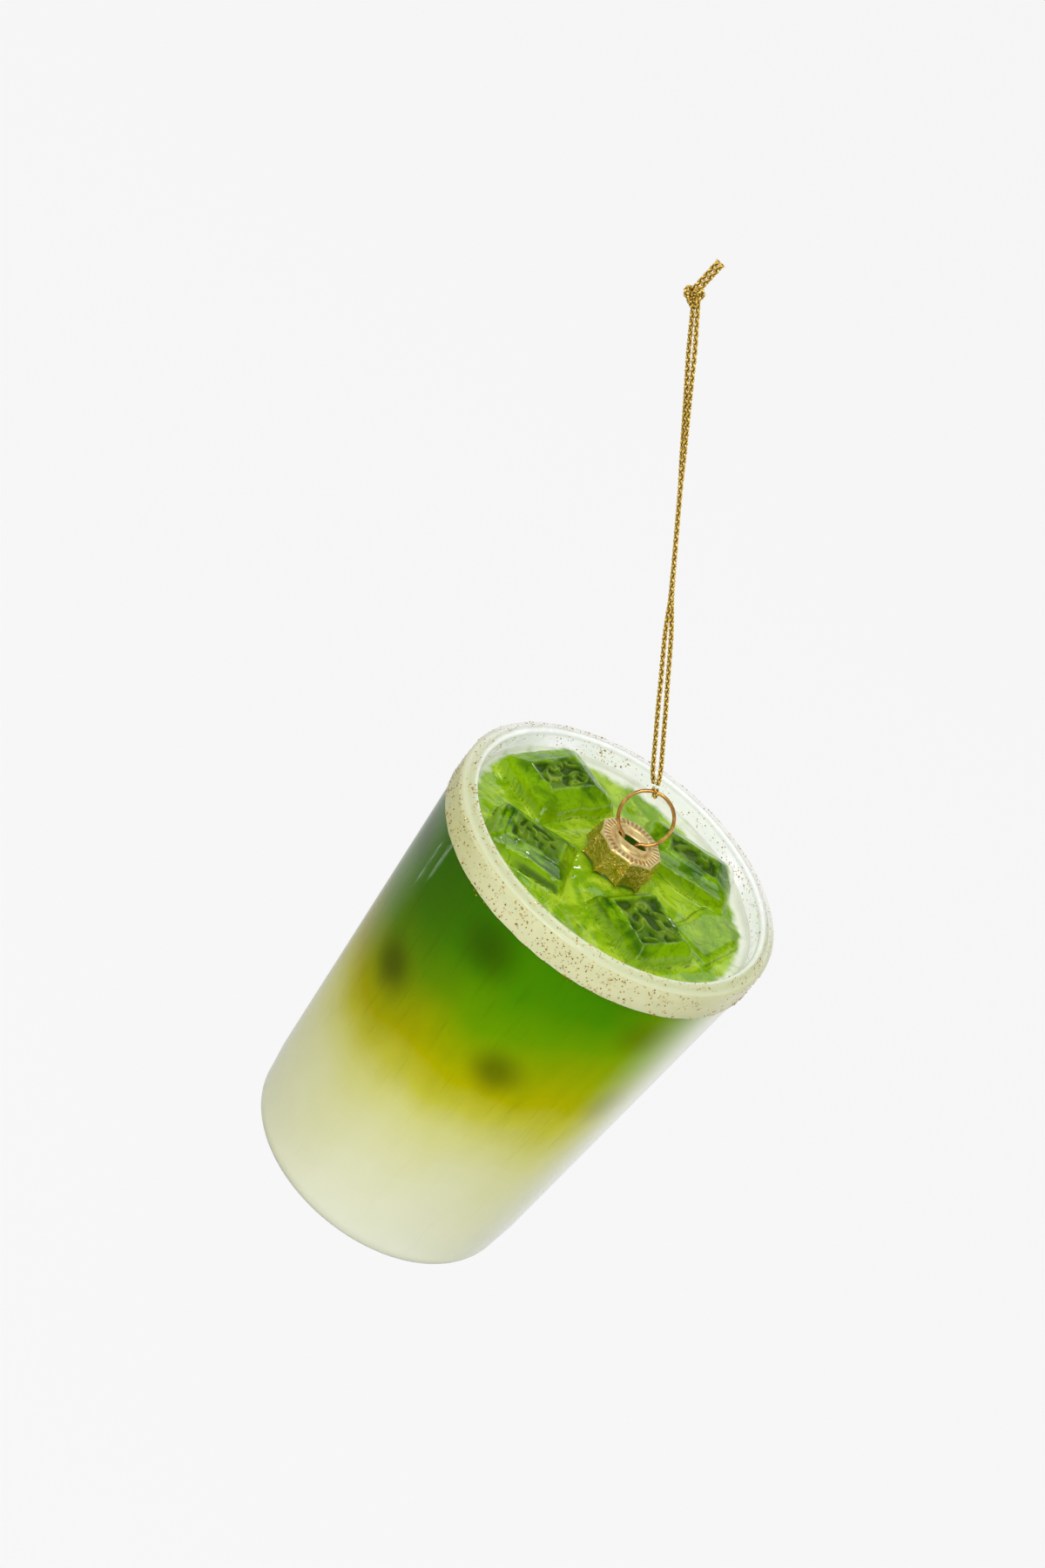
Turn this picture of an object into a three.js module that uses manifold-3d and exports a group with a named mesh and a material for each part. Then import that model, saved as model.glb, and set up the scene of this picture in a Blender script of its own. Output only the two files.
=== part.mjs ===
// Blown-glass tumbler ornament of an iced drink, hung on a cord loop
//
// Units are millimetres, +Z runs up the tumbler's axis, and the slot of the cap lies along X.
// The sub-parts are first laid out from the rim plane, the level of the coated band's top edge,
// and then moved together so that the origin is the point where a hook carries the cord loop.

import * as THREE from 'three';
import { mergeVertices } from 'three/addons/utils/BufferGeometryUtils.js';
import Module from 'manifold-3d';

const wasm = await Module();
wasm.setup();

// Tumbler
const rimDiameter = 66;            // across the coated band
const baseDiameter = 53;
const bodyHeight = 87;             // rim plane down to the base
const glassWall = 1.0;
const heelRadius = 5;              // rounding between wall and base
const lipInset = 2.2;              // lip ridge, inward from the band's outside
const lipRise = 1.1;               // lip ridge above the rim plane
const rimWidth = 2.7;              // double glass wall fused at the rim
const deckDrop = 4.3;              // drink surface at the wall, below the rim plane
const collarDrop = 2.0;            // drink surface at the neck, below the rim plane
const collarReach = 10;            // how far the raised collar runs out from the neck
const deckFillet = 1.2;
const glassSegments = 60;

// Glitter band
const coatThickness = 0.4;
const coatHeight = 6.25;
const coatEdge = 0.3;              // softened outer corner
const coatClearance = 0.1;

// Neck
const neckDiameter = 10.7;
const neckBore = 8.8;
const neckRise = 3.45;             // neck top above the rim plane
const neckFlare = 1.6;             // widening of the bore into the hollow body
const flareDrop = 0.8;             // where it starts to widen, below the rim plane
const neckFoot = 0.4;              // fillet between the neck and the drink surface

// Cap
const capSheet = 0.3;
const capSeat = 0.25;              // clearance of the cap over the neck's end
const capClearance = 0.3;          // between the skirt's valleys and the neck
const skirtHeight = 5.3;
const skirtFlare = 0.15;           // added to the valleys at the bottom edge
const crimpCount = 9;
const crimpTop = 0.45;             // how far a crimp stands out at the top
const crimpBottom = 1.1;           // and at the bottom edge
const crimpPhase = 5;              // degrees from +X to the first crimp
const crimpDip = 0.3;              // the crimps reach lower than the valleys
const capSegmentsPerCrimp = 6;
const topEdge = 0.3;               // rounding between the cap's top and its skirt
const discRadius = 3.4;            // raised disc that holds the slot
const discRise = 0.2;
const grooveWidth = 0.6;
const grooveDepth = 0.2;
const ribCount = 36;
const ribLength = 1.15;
const ribWidth = 0.3;
const ribHeight = 0.16;
const slotLength = 6.0;
const slotWidth = 2.0;

// Wire hanger
const wireDiameter = 0.7;
const ringDiameter = 10.0;         // middle of the wire
const ringLift = 4.95;             // ring centre above the slot
const ringShift = -0.4;            // the ring sits a little to one side in the slot
const ringTilt = 21;               // degrees from the tumbler's axis, towards +Y
const ringOpening = 29;            // degrees from the bottom of the ring to where each leg leaves it
const legCrossing = 2.2;           // depth of the legs' crossing under the slot
const legDepth = 10.4;
const legSpread = 2.8;             // how far each leg's end stands from the middle
const legGap = 0.3;                // between the wires where they cross
const ringPoints = 17;
const hangerSteps = 64;

// Cord
const cordDiameter = 0.8;
const contactAngle = 17;           // where the cord bears on the ring, degrees from its top towards -X
const cordAngle = 30.6;            // the cord's lean in the ring's plane, degrees towards -X
const loopLength = 87.3;           // contact point to the knot's underside
const hookRoom = 1.5;              // hook's middle below the knot
const cordGap = 0.3;               // between the cord's separate solids
const bightClearance = 0.15;       // between the cord and the wire that it bears on
const bightThickness = 0.6;        // the cord is pressed flat where it bears
const bightWidth = 0.95;
const bightReach = 0.8;            // how far the bight's two ends rise above the wire's middle
const knotDiameter = 3.8;
const knotSide = -0.3;             // the knot sits a little off the cord's line
const knotCord = 1.25;             // the doubled cord, pressed together in the knot
const tailLength = 5.6;
const tailSide = -1.0;             // the tails leave the knot a little to the other side
const tailAngle = 38;              // degrees from the cord's line, towards +side
const cordSteps = 40;
const cordSides = 8;

// Route of one strand in the cord's own frame: along the cord from the contact point, to the side
// in the ring's plane, and out of that plane towards the front. The strand starts at the bight's
// back end, runs up on the left, crosses in front of its twin and reaches the knot on the right.
// The twin's route is this one turned half round the cord's line.
const strandRoute = [
  [1.40, -0.12, -0.65],
  [2.2, -0.40, -0.55],
  [3.6, -0.66, -0.20],
  [6, -0.72, 0.02],
  [10, -0.70, 0.06],
  [15, -0.70, 0.06],
  [20, -0.62, 0.06],
  [25, -0.60, 0.08],
  [29, -0.54, 0.18],
  [32, -0.36, 0.34],
  [35, -0.12, 0.45],
  [39, -0.06, 0.46],
  [44, 0.00, 0.46],
  [50, 0.00, 0.46],
  [55, 0.03, 0.46],
  [60, 0.18, 0.42],
  [65, 0.28, 0.36],
  [70, 0.36, 0.28],
  [75, 0.46, 0.16],
  [79, 0.54, 0.06],
  [82, 0.52, 0.04],
  [85, 0.46, 0.06],
  [87.0, 0.44, 0.04],
];

// Moulded ice cubes: middle of the top face, turn about Z, size of the top face,
// height of the top face against the rim plane, and run of the sloping sides
const iceCubes = [
  { x: -15.7, y: 13.2, turn: 56, length: 12.5, width: 7.5, crown: -0.5, slope: 4.5 },
  { x: -14.8, y: -9.4, turn: 2, length: 11, width: 7.8, crown: -0.5, slope: 3.2 },
  { x: 9.8, y: -11.3, turn: -38, length: 11.6, width: 11.6, crown: -0.4, slope: 2.4 },
  { x: 12.6, y: 15.4, turn: 4, length: 11, width: 6, crown: -0.5, slope: 4.5 },
  { x: 21.6, y: 1.7, turn: 69, length: 14, width: 6, crown: -3.0, slope: 1.6 },
];
const cubeCorner = 1.0;            // rounding of a cube's corners, seen from above
const cubeSkirt = 1.4;             // straight part of a cube below its sloping sides
const cubeDraw = 0.3;              // how far a cube's hollow is drawn in from its sides

// Shared levels and radii
const coatOuter = rimDiameter / 2;
const glassOuter = coatOuter - coatThickness - coatClearance;
const baseRadius = baseDiameter / 2;
const wellRadius = glassOuter - rimWidth;
const neckRadius = neckDiameter / 2;
const boreRadius = neckBore / 2;
const skirtRadius = neckRadius + capClearance + capSheet;
const capTop = neckRise + capSeat + capSheet;
const slotLevel = capTop + discRise - capSheet / 2;
const ringRadius = ringDiameter / 2;
const wireRadius = wireDiameter / 2;
const cordRadius = cordDiameter / 2;
const slant = Math.hypot(1, lipRise / lipInset);

const materials = {
  glass: new THREE.MeshStandardMaterial({ color: 0x5c9c1c, roughness: 0.06, metalness: 0 }),
  glitter: new THREE.MeshStandardMaterial({ color: 0xdcdcbe, roughness: 0.35, metalness: 0 }),
  cap: new THREE.MeshStandardMaterial({ color: 0xe0bf7c, roughness: 0.28, metalness: 1 }),
  wire: new THREE.MeshStandardMaterial({ color: 0xb67a34, roughness: 0.25, metalness: 1 }),
  cord: new THREE.MeshStandardMaterial({ color: 0xc69a2c, roughness: 0.4, metalness: 0.8 }),
};

// Turn a geometry into a solid that can be joined and cut
function toSolid(geometry) {
  const bare = geometry.clone();
  bare.deleteAttribute('normal');
  bare.deleteAttribute('uv');
  const merged = mergeVertices(bare, 1e-4);
  const vertProperties = new Float32Array(merged.attributes.position.array);
  const triVerts = new Uint32Array(merged.index.array);
  return new wasm.Manifold(new wasm.Mesh({ numProp: 3, vertProperties, triVerts }));
}

// And turn a solid back into a geometry
function toGeometry(solid) {
  const mesh = solid.getMesh();
  const geometry = new THREE.BufferGeometry();
  geometry.setAttribute('position', new THREE.BufferAttribute(new Float32Array(mesh.vertProperties), 3));
  geometry.setIndex(new THREE.BufferAttribute(new Uint32Array(mesh.triVerts), 1));
  geometry.computeVertexNormals();
  return geometry;
}

// Turned shape about Z from [radius, height] pairs
function turned(profile, segments) {
  const points = profile.map(([radius, height]) => new THREE.Vector2(radius, height));
  return new THREE.LatheGeometry(points, segments).rotateX(Math.PI / 2);
}

// Points of an arc in a turned profile, angles in degrees from straight out
function arc(radius, height, size, from, to, steps) {
  const points = [];
  for (let i = 0; i <= steps; i += 1) {
    const angle = THREE.MathUtils.degToRad(from + ((to - from) * i) / steps);
    points.push([radius + size * Math.cos(angle), height + size * Math.sin(angle)]);
  }
  return points;
}

// Round bar along a curve
function bar(curve, radius, steps, sides) {
  const section = new THREE.Shape().absarc(0, 0, radius, 0, 2 * Math.PI);
  return new THREE.ExtrudeGeometry(section, { extrudePath: curve, steps, curveSegments: sides / 2 });
}

function named(name, geometry, material) {
  const mesh = new THREE.Mesh(geometry, material);
  mesh.name = name;
  return mesh;
}

// Outside radius of the tapered wall at a height
function wallRadius(height) {
  const share = (height + bodyHeight) / (bodyHeight - coatHeight);
  return baseRadius + (glassOuter - baseRadius) * Math.min(share, 1);
}

// Height of the rim's sloping top at a radius, sunk squarely under the band's surface
function rimSlope(radius, sink) {
  return (lipRise * (coatOuter - radius)) / lipInset - sink * slant;
}

// Height of the drink surface at a radius: level at the wall, a soft collar at the neck
function deckHeight(radius) {
  const out = Math.min((radius - neckRadius) / collarReach, 1);
  const blend = out * out * (3 - 2 * out);
  return -collarDrop + (collarDrop - deckDrop) * blend;
}

// Closed outline of the tumbler, from the middle of the base up the outside and back down the inside
function tumblerProfile() {
  const sink = coatThickness + coatClearance;
  const heelInside = heelRadius - glassWall;
  const ridge = coatOuter - lipInset - 0.35 * sink;
  const deckRadii = [2.4, 1.6, 1.2, 0.9, 0.7].map((share) => share * collarReach);
  const profile = [[0, -bodyHeight]];
  profile.push(...arc(baseRadius - heelRadius, heelRadius - bodyHeight, heelRadius, -90, 0, 6));
  profile.push([wallRadius(-bodyHeight / 2), -bodyHeight / 2]);
  profile.push([glassOuter, -coatHeight]);
  profile.push([glassOuter, rimSlope(glassOuter, sink) - 0.1]);
  profile.push([glassOuter - 0.3, rimSlope(glassOuter - 0.3, sink)]);
  profile.push([ridge, rimSlope(ridge, sink)]);
  profile.push([wellRadius + 0.15, rimSlope(ridge, sink) - 0.1]);
  profile.push([wellRadius, rimSlope(ridge, sink) - 0.4]);
  profile.push(...arc(wellRadius - deckFillet, deckFillet - deckDrop, deckFillet, 0, -90, 4));
  deckRadii.forEach((radius) => profile.push([radius, deckHeight(radius)]));
  profile.push([neckRadius + neckFoot, deckHeight(neckRadius) + neckFoot / 2]);
  profile.push([neckRadius, deckHeight(neckRadius) + 1.5 * neckFoot]);
  profile.push([neckRadius, neckRise - 0.2]);
  profile.push([neckRadius - 0.2, neckRise]);
  profile.push([boreRadius, neckRise]);
  profile.push([boreRadius, -flareDrop]);
  profile.push([boreRadius + neckFlare, deckHeight(neckRadius) - glassWall]);
  [...deckRadii].reverse().forEach((radius) => profile.push([radius, deckHeight(radius) - glassWall]));
  profile.push([wellRadius, -deckDrop - glassWall]);
  profile.push([glassOuter - glassWall, -coatHeight - glassWall]);
  profile.push([wallRadius(-bodyHeight / 2) - glassWall, -bodyHeight / 2]);
  profile.push(...arc(baseRadius - heelRadius, heelRadius - bodyHeight, heelInside, 0, -90, 5));
  profile.push([0, glassWall - bodyHeight]);
  return profile;
}

// One ice cube with sloping sides, grown or shrunk all round by an allowance
function cubeBlock(cube, allowance) {
  const halfLength = cube.length / 2 + allowance;
  const halfWidth = cube.width / 2 + allowance;
  const corner = cubeCorner;
  const face = new THREE.Shape();
  face.moveTo(-halfLength + corner, -halfWidth);
  face.lineTo(halfLength - corner, -halfWidth);
  face.quadraticCurveTo(halfLength, -halfWidth, halfLength, -halfWidth + corner);
  face.lineTo(halfLength, halfWidth - corner);
  face.quadraticCurveTo(halfLength, halfWidth, halfLength - corner, halfWidth);
  face.lineTo(-halfLength + corner, halfWidth);
  face.quadraticCurveTo(-halfLength, halfWidth, -halfLength, halfWidth - corner);
  face.lineTo(-halfLength, -halfWidth + corner);
  face.quadraticCurveTo(-halfLength, -halfWidth, -halfLength + corner, -halfWidth);
  const fall = deckDrop + cube.crown;
  const block = new THREE.ExtrudeGeometry(face, {
    depth: cubeSkirt,
    bevelSize: cube.slope,
    bevelThickness: fall,
    bevelSegments: 2,
    curveSegments: 2,
  });
  block.translate(0, 0, -cubeSkirt - fall);
  block.rotateZ(THREE.MathUtils.degToRad(cube.turn));
  block.translate(cube.x, cube.y, cube.crown);
  return block;
}

// Round zone between two radii, from a level up to the neck's end
function deckZone(inner, outer, bottom) {
  const outline = [[inner, bottom], [outer, bottom], [outer, neckRise], [inner, neckRise], [inner, bottom]];
  return toSolid(turned(outline, glassSegments));
}

// The one blown envelope: wall, heel, base, rolled rim, drink surface with its hollow cubes, and neck
function makeGlass() {
  const above = deckZone(neckRadius + neckFlare, wellRadius + glassWall / 2, -deckDrop - glassWall / 2);
  const below = deckZone(neckRadius + neckFlare, wellRadius, -bodyHeight / 2);
  let body = toSolid(turned(tumblerProfile(), glassSegments));
  iceCubes.forEach((cube) => {
    body = body.add(toSolid(cubeBlock(cube, 0)).intersect(above));
  });
  iceCubes.forEach((cube) => {
    const hollow = cubeBlock(cube, -cubeDraw).translate(0, 0, -glassWall);
    body = body.subtract(toSolid(hollow).intersect(below));
  });
  return named('glass_body', toGeometry(body), materials.glass);
}

// Milky glitter band brushed over the rim, from the lip's ridge down the outside
function makeGlitterRim() {
  const ridge = coatOuter - lipInset;
  const inside = coatOuter - coatThickness;
  const profile = [
    [inside, -coatHeight],
    [coatOuter - coatEdge / 2, -coatHeight],
    [coatOuter, coatEdge / 2 - coatHeight],
    [coatOuter, -coatEdge],
    [coatOuter - coatEdge, rimSlope(coatOuter - coatEdge, 0)],
    [ridge + coatEdge, rimSlope(ridge + coatEdge, 0)],
    [ridge, rimSlope(ridge, 0) - 0.03],
    [ridge - coatEdge, rimSlope(ridge, 0) - 0.15],
    [ridge - coatEdge / 2, rimSlope(ridge - coatEdge / 2, coatThickness)],
    [inside - coatEdge, rimSlope(inside - coatEdge, coatThickness)],
    [inside, rimSlope(inside, coatThickness) - 0.05],
    [inside, -coatHeight],
  ];
  return named('glitter_rim', turned(profile, glassSegments), materials.glitter);
}

// Share of a crimp's stand-out at an angle: sharp crests, broad valleys
function crimpShare(angle) {
  return (0.5 + 0.5 * Math.cos(crimpCount * angle)) ** 1.5;
}

// Crown cap: sheet metal with a raised slotted disc, a groove, radial ribs and a crimped skirt
function makeCap() {
  const top = capTop;
  const grooveMiddle = discRadius + grooveWidth / 2;
  const grooveOuter = discRadius + grooveWidth;
  const flatOuter = skirtRadius - topEdge;
  const levels = [topEdge / skirtHeight, 0.3, 0.55, 0.8, 1];
  const rows = [];
  const row = (radius, height, crimp, dip = 0) => rows.push({ radius, height, crimp, dip });
  row(0, top + discRise, 0);
  row(discRadius - discRise, top + discRise, 0);
  row(discRadius, top, 0);
  row(grooveMiddle, top - grooveDepth, 0);
  row(grooveOuter, top, 0);
  row(flatOuter, top, crimpTop / 2);
  levels.forEach((share) => {
    const crimp = crimpTop + (crimpBottom - crimpTop) * share;
    row(skirtRadius + skirtFlare * share, top - skirtHeight * share, crimp, crimpDip * share);
  });
  [...levels].reverse().forEach((share) => {
    const crimp = crimpTop + (crimpBottom - crimpTop) * share;
    const height = Math.min(top - skirtHeight * share, top - capSheet - topEdge / 2);
    row(skirtRadius - capSheet + skirtFlare * share, height, crimp, crimpDip * share);
  });
  row(flatOuter - topEdge / 2, top - capSheet, crimpTop / 2);
  row(grooveOuter + grooveDepth / 2, top - capSheet, 0);
  row(grooveMiddle, top - grooveDepth - capSheet * 0.8, 0);
  row(discRadius - grooveDepth / 2, top - capSheet, 0);
  row(discRadius - discRise - capSheet / 2, top + discRise - capSheet, 0);
  row(0, top + discRise - capSheet, 0);
  rows.reverse();

  const segments = crimpCount * capSegmentsPerCrimp;
  const shell = turned(rows.map(({ radius, height }) => [radius, height]), segments);
  const place = shell.attributes.position;
  for (let i = 0; i < place.count; i += 1) {
    const { crimp, dip } = rows[i % rows.length];
    const angle = Math.atan2(place.getY(i), place.getX(i));
    const radius = Math.hypot(place.getX(i), place.getY(i));
    const reach = radius > 0 ? (radius + crimp * crimpShare(angle)) / radius : 1;
    place.setXYZ(
      i,
      place.getX(i) * reach,
      place.getY(i) * reach,
      place.getZ(i) - dip * crimpShare(angle),
    );
  }

  shell.rotateZ(THREE.MathUtils.degToRad(crimpPhase));
  let cap = toSolid(shell);
  for (let i = 0; i < ribCount; i += 1) {
    const rib = new THREE.BoxGeometry(ribLength, ribWidth, 2 * ribHeight);
    rib.translate(flatOuter - ribLength / 2, 0, top);
    rib.rotateZ(((i + 0.5) * 2 * Math.PI) / ribCount);
    cap = cap.add(toSolid(rib));
  }
  return named('cap', toGeometry(cap.subtract(toSolid(slotCutter()))), materials.cap);
}

// Long oval slot, cut through the raised disc
function slotCutter() {
  const oval = new THREE.Shape().absellipse(0, 0, slotLength / 2, slotWidth / 2, 0, 2 * Math.PI);
  const depth = 3 * capSheet;
  const cutter = new THREE.ExtrudeGeometry(oval, { depth, bevelEnabled: false, curveSegments: 12 });
  return cutter.translate(0, 0, slotLevel - depth / 2);
}

// Frame of the ring's plane: across along X, up along the tilted ring, out square to both
const tilt = THREE.MathUtils.degToRad(ringTilt);
const ringAcross = new THREE.Vector3(1, 0, 0);
const ringUp = new THREE.Vector3(0, Math.sin(tilt), Math.cos(tilt));
const ringOut = new THREE.Vector3().crossVectors(ringAcross, ringUp);
const ringFoot = new THREE.Vector3(ringShift, 0, slotLevel);
const ringCentre = ringFoot.clone().addScaledVector(ringUp, ringLift);

function inRingPlane(across, up, out) {
  return ringFoot.clone()
    .addScaledVector(ringAcross, across)
    .addScaledVector(ringUp, up)
    .addScaledVector(ringOut, out);
}

// One wire: spring leg, crossing, ring, crossing, spring leg
function makeHanger() {
  const offset = wireRadius + legGap / 2;
  const leaveAcross = ringRadius * Math.sin(THREE.MathUtils.degToRad(ringOpening));
  const leg = [
    [legSpread, -legDepth, offset],
    [legSpread * 0.83, -legDepth * 0.8, offset],
    [legSpread * 0.56, -legDepth * 0.55, offset],
    [legSpread * 0.28, -legDepth * 0.36, offset],
    [0, -legCrossing, offset],
    [-leaveAcross * 0.5, -legCrossing * 0.6, offset * 0.6],
    [-leaveAcross * 0.8, 0, 0],
  ];
  const points = leg.map(([across, up, out]) => inRingPlane(across, up, out));
  for (let i = 0; i < ringPoints; i += 1) {
    const turn = 180 + ringOpening + ((360 - 2 * ringOpening) * i) / (ringPoints - 1);
    const angle = THREE.MathUtils.degToRad(turn);
    points.push(inRingPlane(ringRadius * Math.sin(angle), ringLift + ringRadius * Math.cos(angle), 0));
  }
  [...leg].reverse().forEach(([across, up, out]) => points.push(inRingPlane(-across, up, -out)));
  const curve = new THREE.CatmullRomCurve3(points, false, 'centripetal');
  return named('wire_hanger', bar(curve, wireRadius, hangerSteps, 8), materials.wire);
}

// Frame of the cord: along its line, to the side in the ring's plane and out of that plane
const contact = THREE.MathUtils.degToRad(contactAngle);
const lean = THREE.MathUtils.degToRad(cordAngle);
const contactPoint = ringCentre.clone()
  .addScaledVector(ringUp, ringRadius * Math.cos(contact))
  .addScaledVector(ringAcross, -ringRadius * Math.sin(contact));
const cordAlong = ringUp.clone().multiplyScalar(Math.cos(lean)).addScaledVector(ringAcross, -Math.sin(lean));
const cordSide = new THREE.Vector3().crossVectors(ringOut, cordAlong).negate();

function onCord(along, side, out) {
  return contactPoint.clone()
    .addScaledVector(cordAlong, along)
    .addScaledVector(cordSide, side)
    .addScaledVector(ringOut, out);
}

function makeStrand(name, mirror) {
  const points = strandRoute.map(([along, side, out]) => onCord(along, mirror * side, mirror * out));
  const curve = new THREE.CatmullRomCurve3(points, false, 'centripetal');
  return named(name, bar(curve, cordRadius, cordSteps, cordSides), materials.cord);
}

// The bight: the cord bent back on itself under the ring's wire, pressed flat where it bears
function makeBight() {
  const bend = wireRadius + bightClearance + bightThickness / 2;
  const points = [new THREE.Vector3(bend, 0, bightReach)];
  for (let i = 0; i <= 8; i += 1) {
    const angle = (Math.PI * i) / 8;
    points.push(new THREE.Vector3(bend * Math.cos(angle), 0, -bend * Math.sin(angle)));
  }
  points.push(new THREE.Vector3(-bend, 0, bightReach));
  const section = new THREE.Shape().absellipse(0, 0, bightWidth / 2, bightThickness / 2, 0, 2 * Math.PI);
  const bight = new THREE.ExtrudeGeometry(section, {
    extrudePath: new THREE.CatmullRomCurve3(points, false, 'centripetal'),
    steps: 20,
    curveSegments: 5,
  });
  const back = new THREE.Vector3().crossVectors(cordAlong, ringOut);
  bight.applyMatrix4(new THREE.Matrix4().makeBasis(ringOut, back, cordAlong));
  bight.translate(contactPoint.x, contactPoint.y, contactPoint.z);
  return named('cord_bight', bight, materials.cord);
}

// Overhand knot in the doubled cord: three overlapping sweeps of one knotted curve
function makeKnot() {
  const size = (knotDiameter - knotCord) / 6;
  const centre = loopLength + knotDiameter / 2;
  const sweeps = 3;
  const overlap = 0.02;
  const knotPoint = (t) => onCord(
    centre + size * (Math.cos(t) - 2 * Math.cos(2 * t)),
    knotSide + size * (Math.sin(t) + 2 * Math.sin(2 * t)),
    -1.6 * size * Math.sin(3 * t),
  );
  let knot = null;
  for (let i = 0; i < sweeps; i += 1) {
    const points = [];
    for (let k = -4; k <= 4; k += 1) {
      points.push(knotPoint(((i + k * (0.125 + overlap)) * 2 * Math.PI) / sweeps));
    }
    const curve = new THREE.CatmullRomCurve3(points, false, 'centripetal');
    const sweep = toSolid(bar(curve, knotCord / 2, 9, cordSides));
    knot = knot ? knot.add(sweep) : sweep;
  }
  return named('cord_knot', toGeometry(knot), materials.cord);
}

// Cut ends of the cord above the knot, side by side
function makeTail(name, mirror) {
  const angle = THREE.MathUtils.degToRad(tailAngle);
  const start = knotDiameter / 2 + cordGap;
  const apart = mirror * (cordDiameter + 0.1) / 2;
  const points = [0, 1 / 3, 2 / 3, 1].map((share) => {
    const reach = start + tailLength * share;
    return onCord(
      loopLength + knotDiameter / 2 + reach * Math.cos(angle) - apart * Math.sin(angle),
      tailSide + reach * Math.sin(angle) + apart * Math.cos(angle),
      0,
    );
  });
  const curve = new THREE.CatmullRomCurve3(points, false, 'centripetal');
  return named(name, bar(curve, cordRadius, 4, cordSides), materials.cord);
}

const group = new THREE.Group();
const hookPoint = onCord(loopLength - hookRoom, 0, 0);
group.position.copy(hookPoint).negate();
group.add(
  makeGlass(),
  makeGlitterRim(),
  makeCap(),
  makeHanger(),
  makeBight(),
  makeStrand('cord_strand_front', 1),
  makeStrand('cord_strand_back', -1),
  makeKnot(),
  makeTail('cord_tail_left', -1),
  makeTail('cord_tail_right', 1),
);

export default group;
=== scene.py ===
"""Visual model of the hanging iced-drink ornament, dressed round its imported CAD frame.

Lengths in the classes are millimetres in the tumbler's own frame: the origin is on the
tumbler's axis at the rim plane and +Z runs up the axis. Each finished mesh is moved into the
row frame, in metres, so every object sits at the origin with its place in its mesh.
"""

import logging
import math
from collections.abc import Sequence
from dataclasses import dataclass, field
from enum import Enum
from typing import ClassVar

import bpy
import numpy as np
from mathutils import Matrix, Vector


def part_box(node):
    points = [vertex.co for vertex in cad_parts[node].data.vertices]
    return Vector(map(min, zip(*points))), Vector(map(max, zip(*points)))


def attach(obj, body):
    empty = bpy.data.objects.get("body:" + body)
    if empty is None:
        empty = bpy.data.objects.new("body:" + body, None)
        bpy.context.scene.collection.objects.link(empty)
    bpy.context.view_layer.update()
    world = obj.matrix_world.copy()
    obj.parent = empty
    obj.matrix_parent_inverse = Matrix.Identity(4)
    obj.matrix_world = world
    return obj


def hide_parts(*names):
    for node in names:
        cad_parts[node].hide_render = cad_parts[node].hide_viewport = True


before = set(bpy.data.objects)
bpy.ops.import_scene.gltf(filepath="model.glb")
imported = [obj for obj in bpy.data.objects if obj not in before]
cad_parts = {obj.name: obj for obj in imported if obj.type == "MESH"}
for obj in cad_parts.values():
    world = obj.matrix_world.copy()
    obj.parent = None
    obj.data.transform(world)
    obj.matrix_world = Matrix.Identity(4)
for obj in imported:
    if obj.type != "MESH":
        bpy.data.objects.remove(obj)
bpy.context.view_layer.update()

MM = 0.001
BAND_HEIGHT = 6.25
GLASS_IOR = 1.45
WHITE = (1.0, 1.0, 1.0, 1.0)
LOG = logging.getLogger("ornament")
X_AXIS, Y_AXIS = np.eye(3)[:2]

Point = tuple[float, float, float]
Colour = tuple[float, float, float, float]
Socket = bpy.types.NodeSocket
Marks = dict[str, np.ndarray]


def srgb(red: int, green: int, blue: int) -> Colour:
    """Turn display values from 0 to 255 into a linear colour.

    Args:
        red: Red value.
        green: Green value.
        blue: Blue value.

    Returns:
        The linear colour with full alpha.
    """
    def linear(value: int) -> float:
        """Turn one display value into a linear one."""
        share = value / 255
        return share / 12.92 if share <= 0.04045 else ((share + 0.055) / 1.055) ** 2.4

    return (linear(red), linear(green), linear(blue), 1.0)


def rim_centre() -> Vector:
    """Find the middle of the rim plane in the row frame, from the coated band's box."""
    low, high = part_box("glitter_rim")
    return Vector(((low.x + high.x) / 2, (low.y + high.y) / 2, low.z + BAND_HEIGHT * MM))


RIM = rim_centre()


class Body(str, Enum):
    """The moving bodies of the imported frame."""

    CORD = "cord"
    BIGHT = "bight"
    HANGER = "hanger"
    CAP = "cap"
    TUMBLER = "tumbler"


class Slot(str, Enum):
    """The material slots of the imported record."""

    GLASS = "painted_glass"
    COAT = "glitter_coat"
    SHEET = "gold_sheet"
    WIRE = "gold_wire"
    YARN = "metallic_cord"


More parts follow.
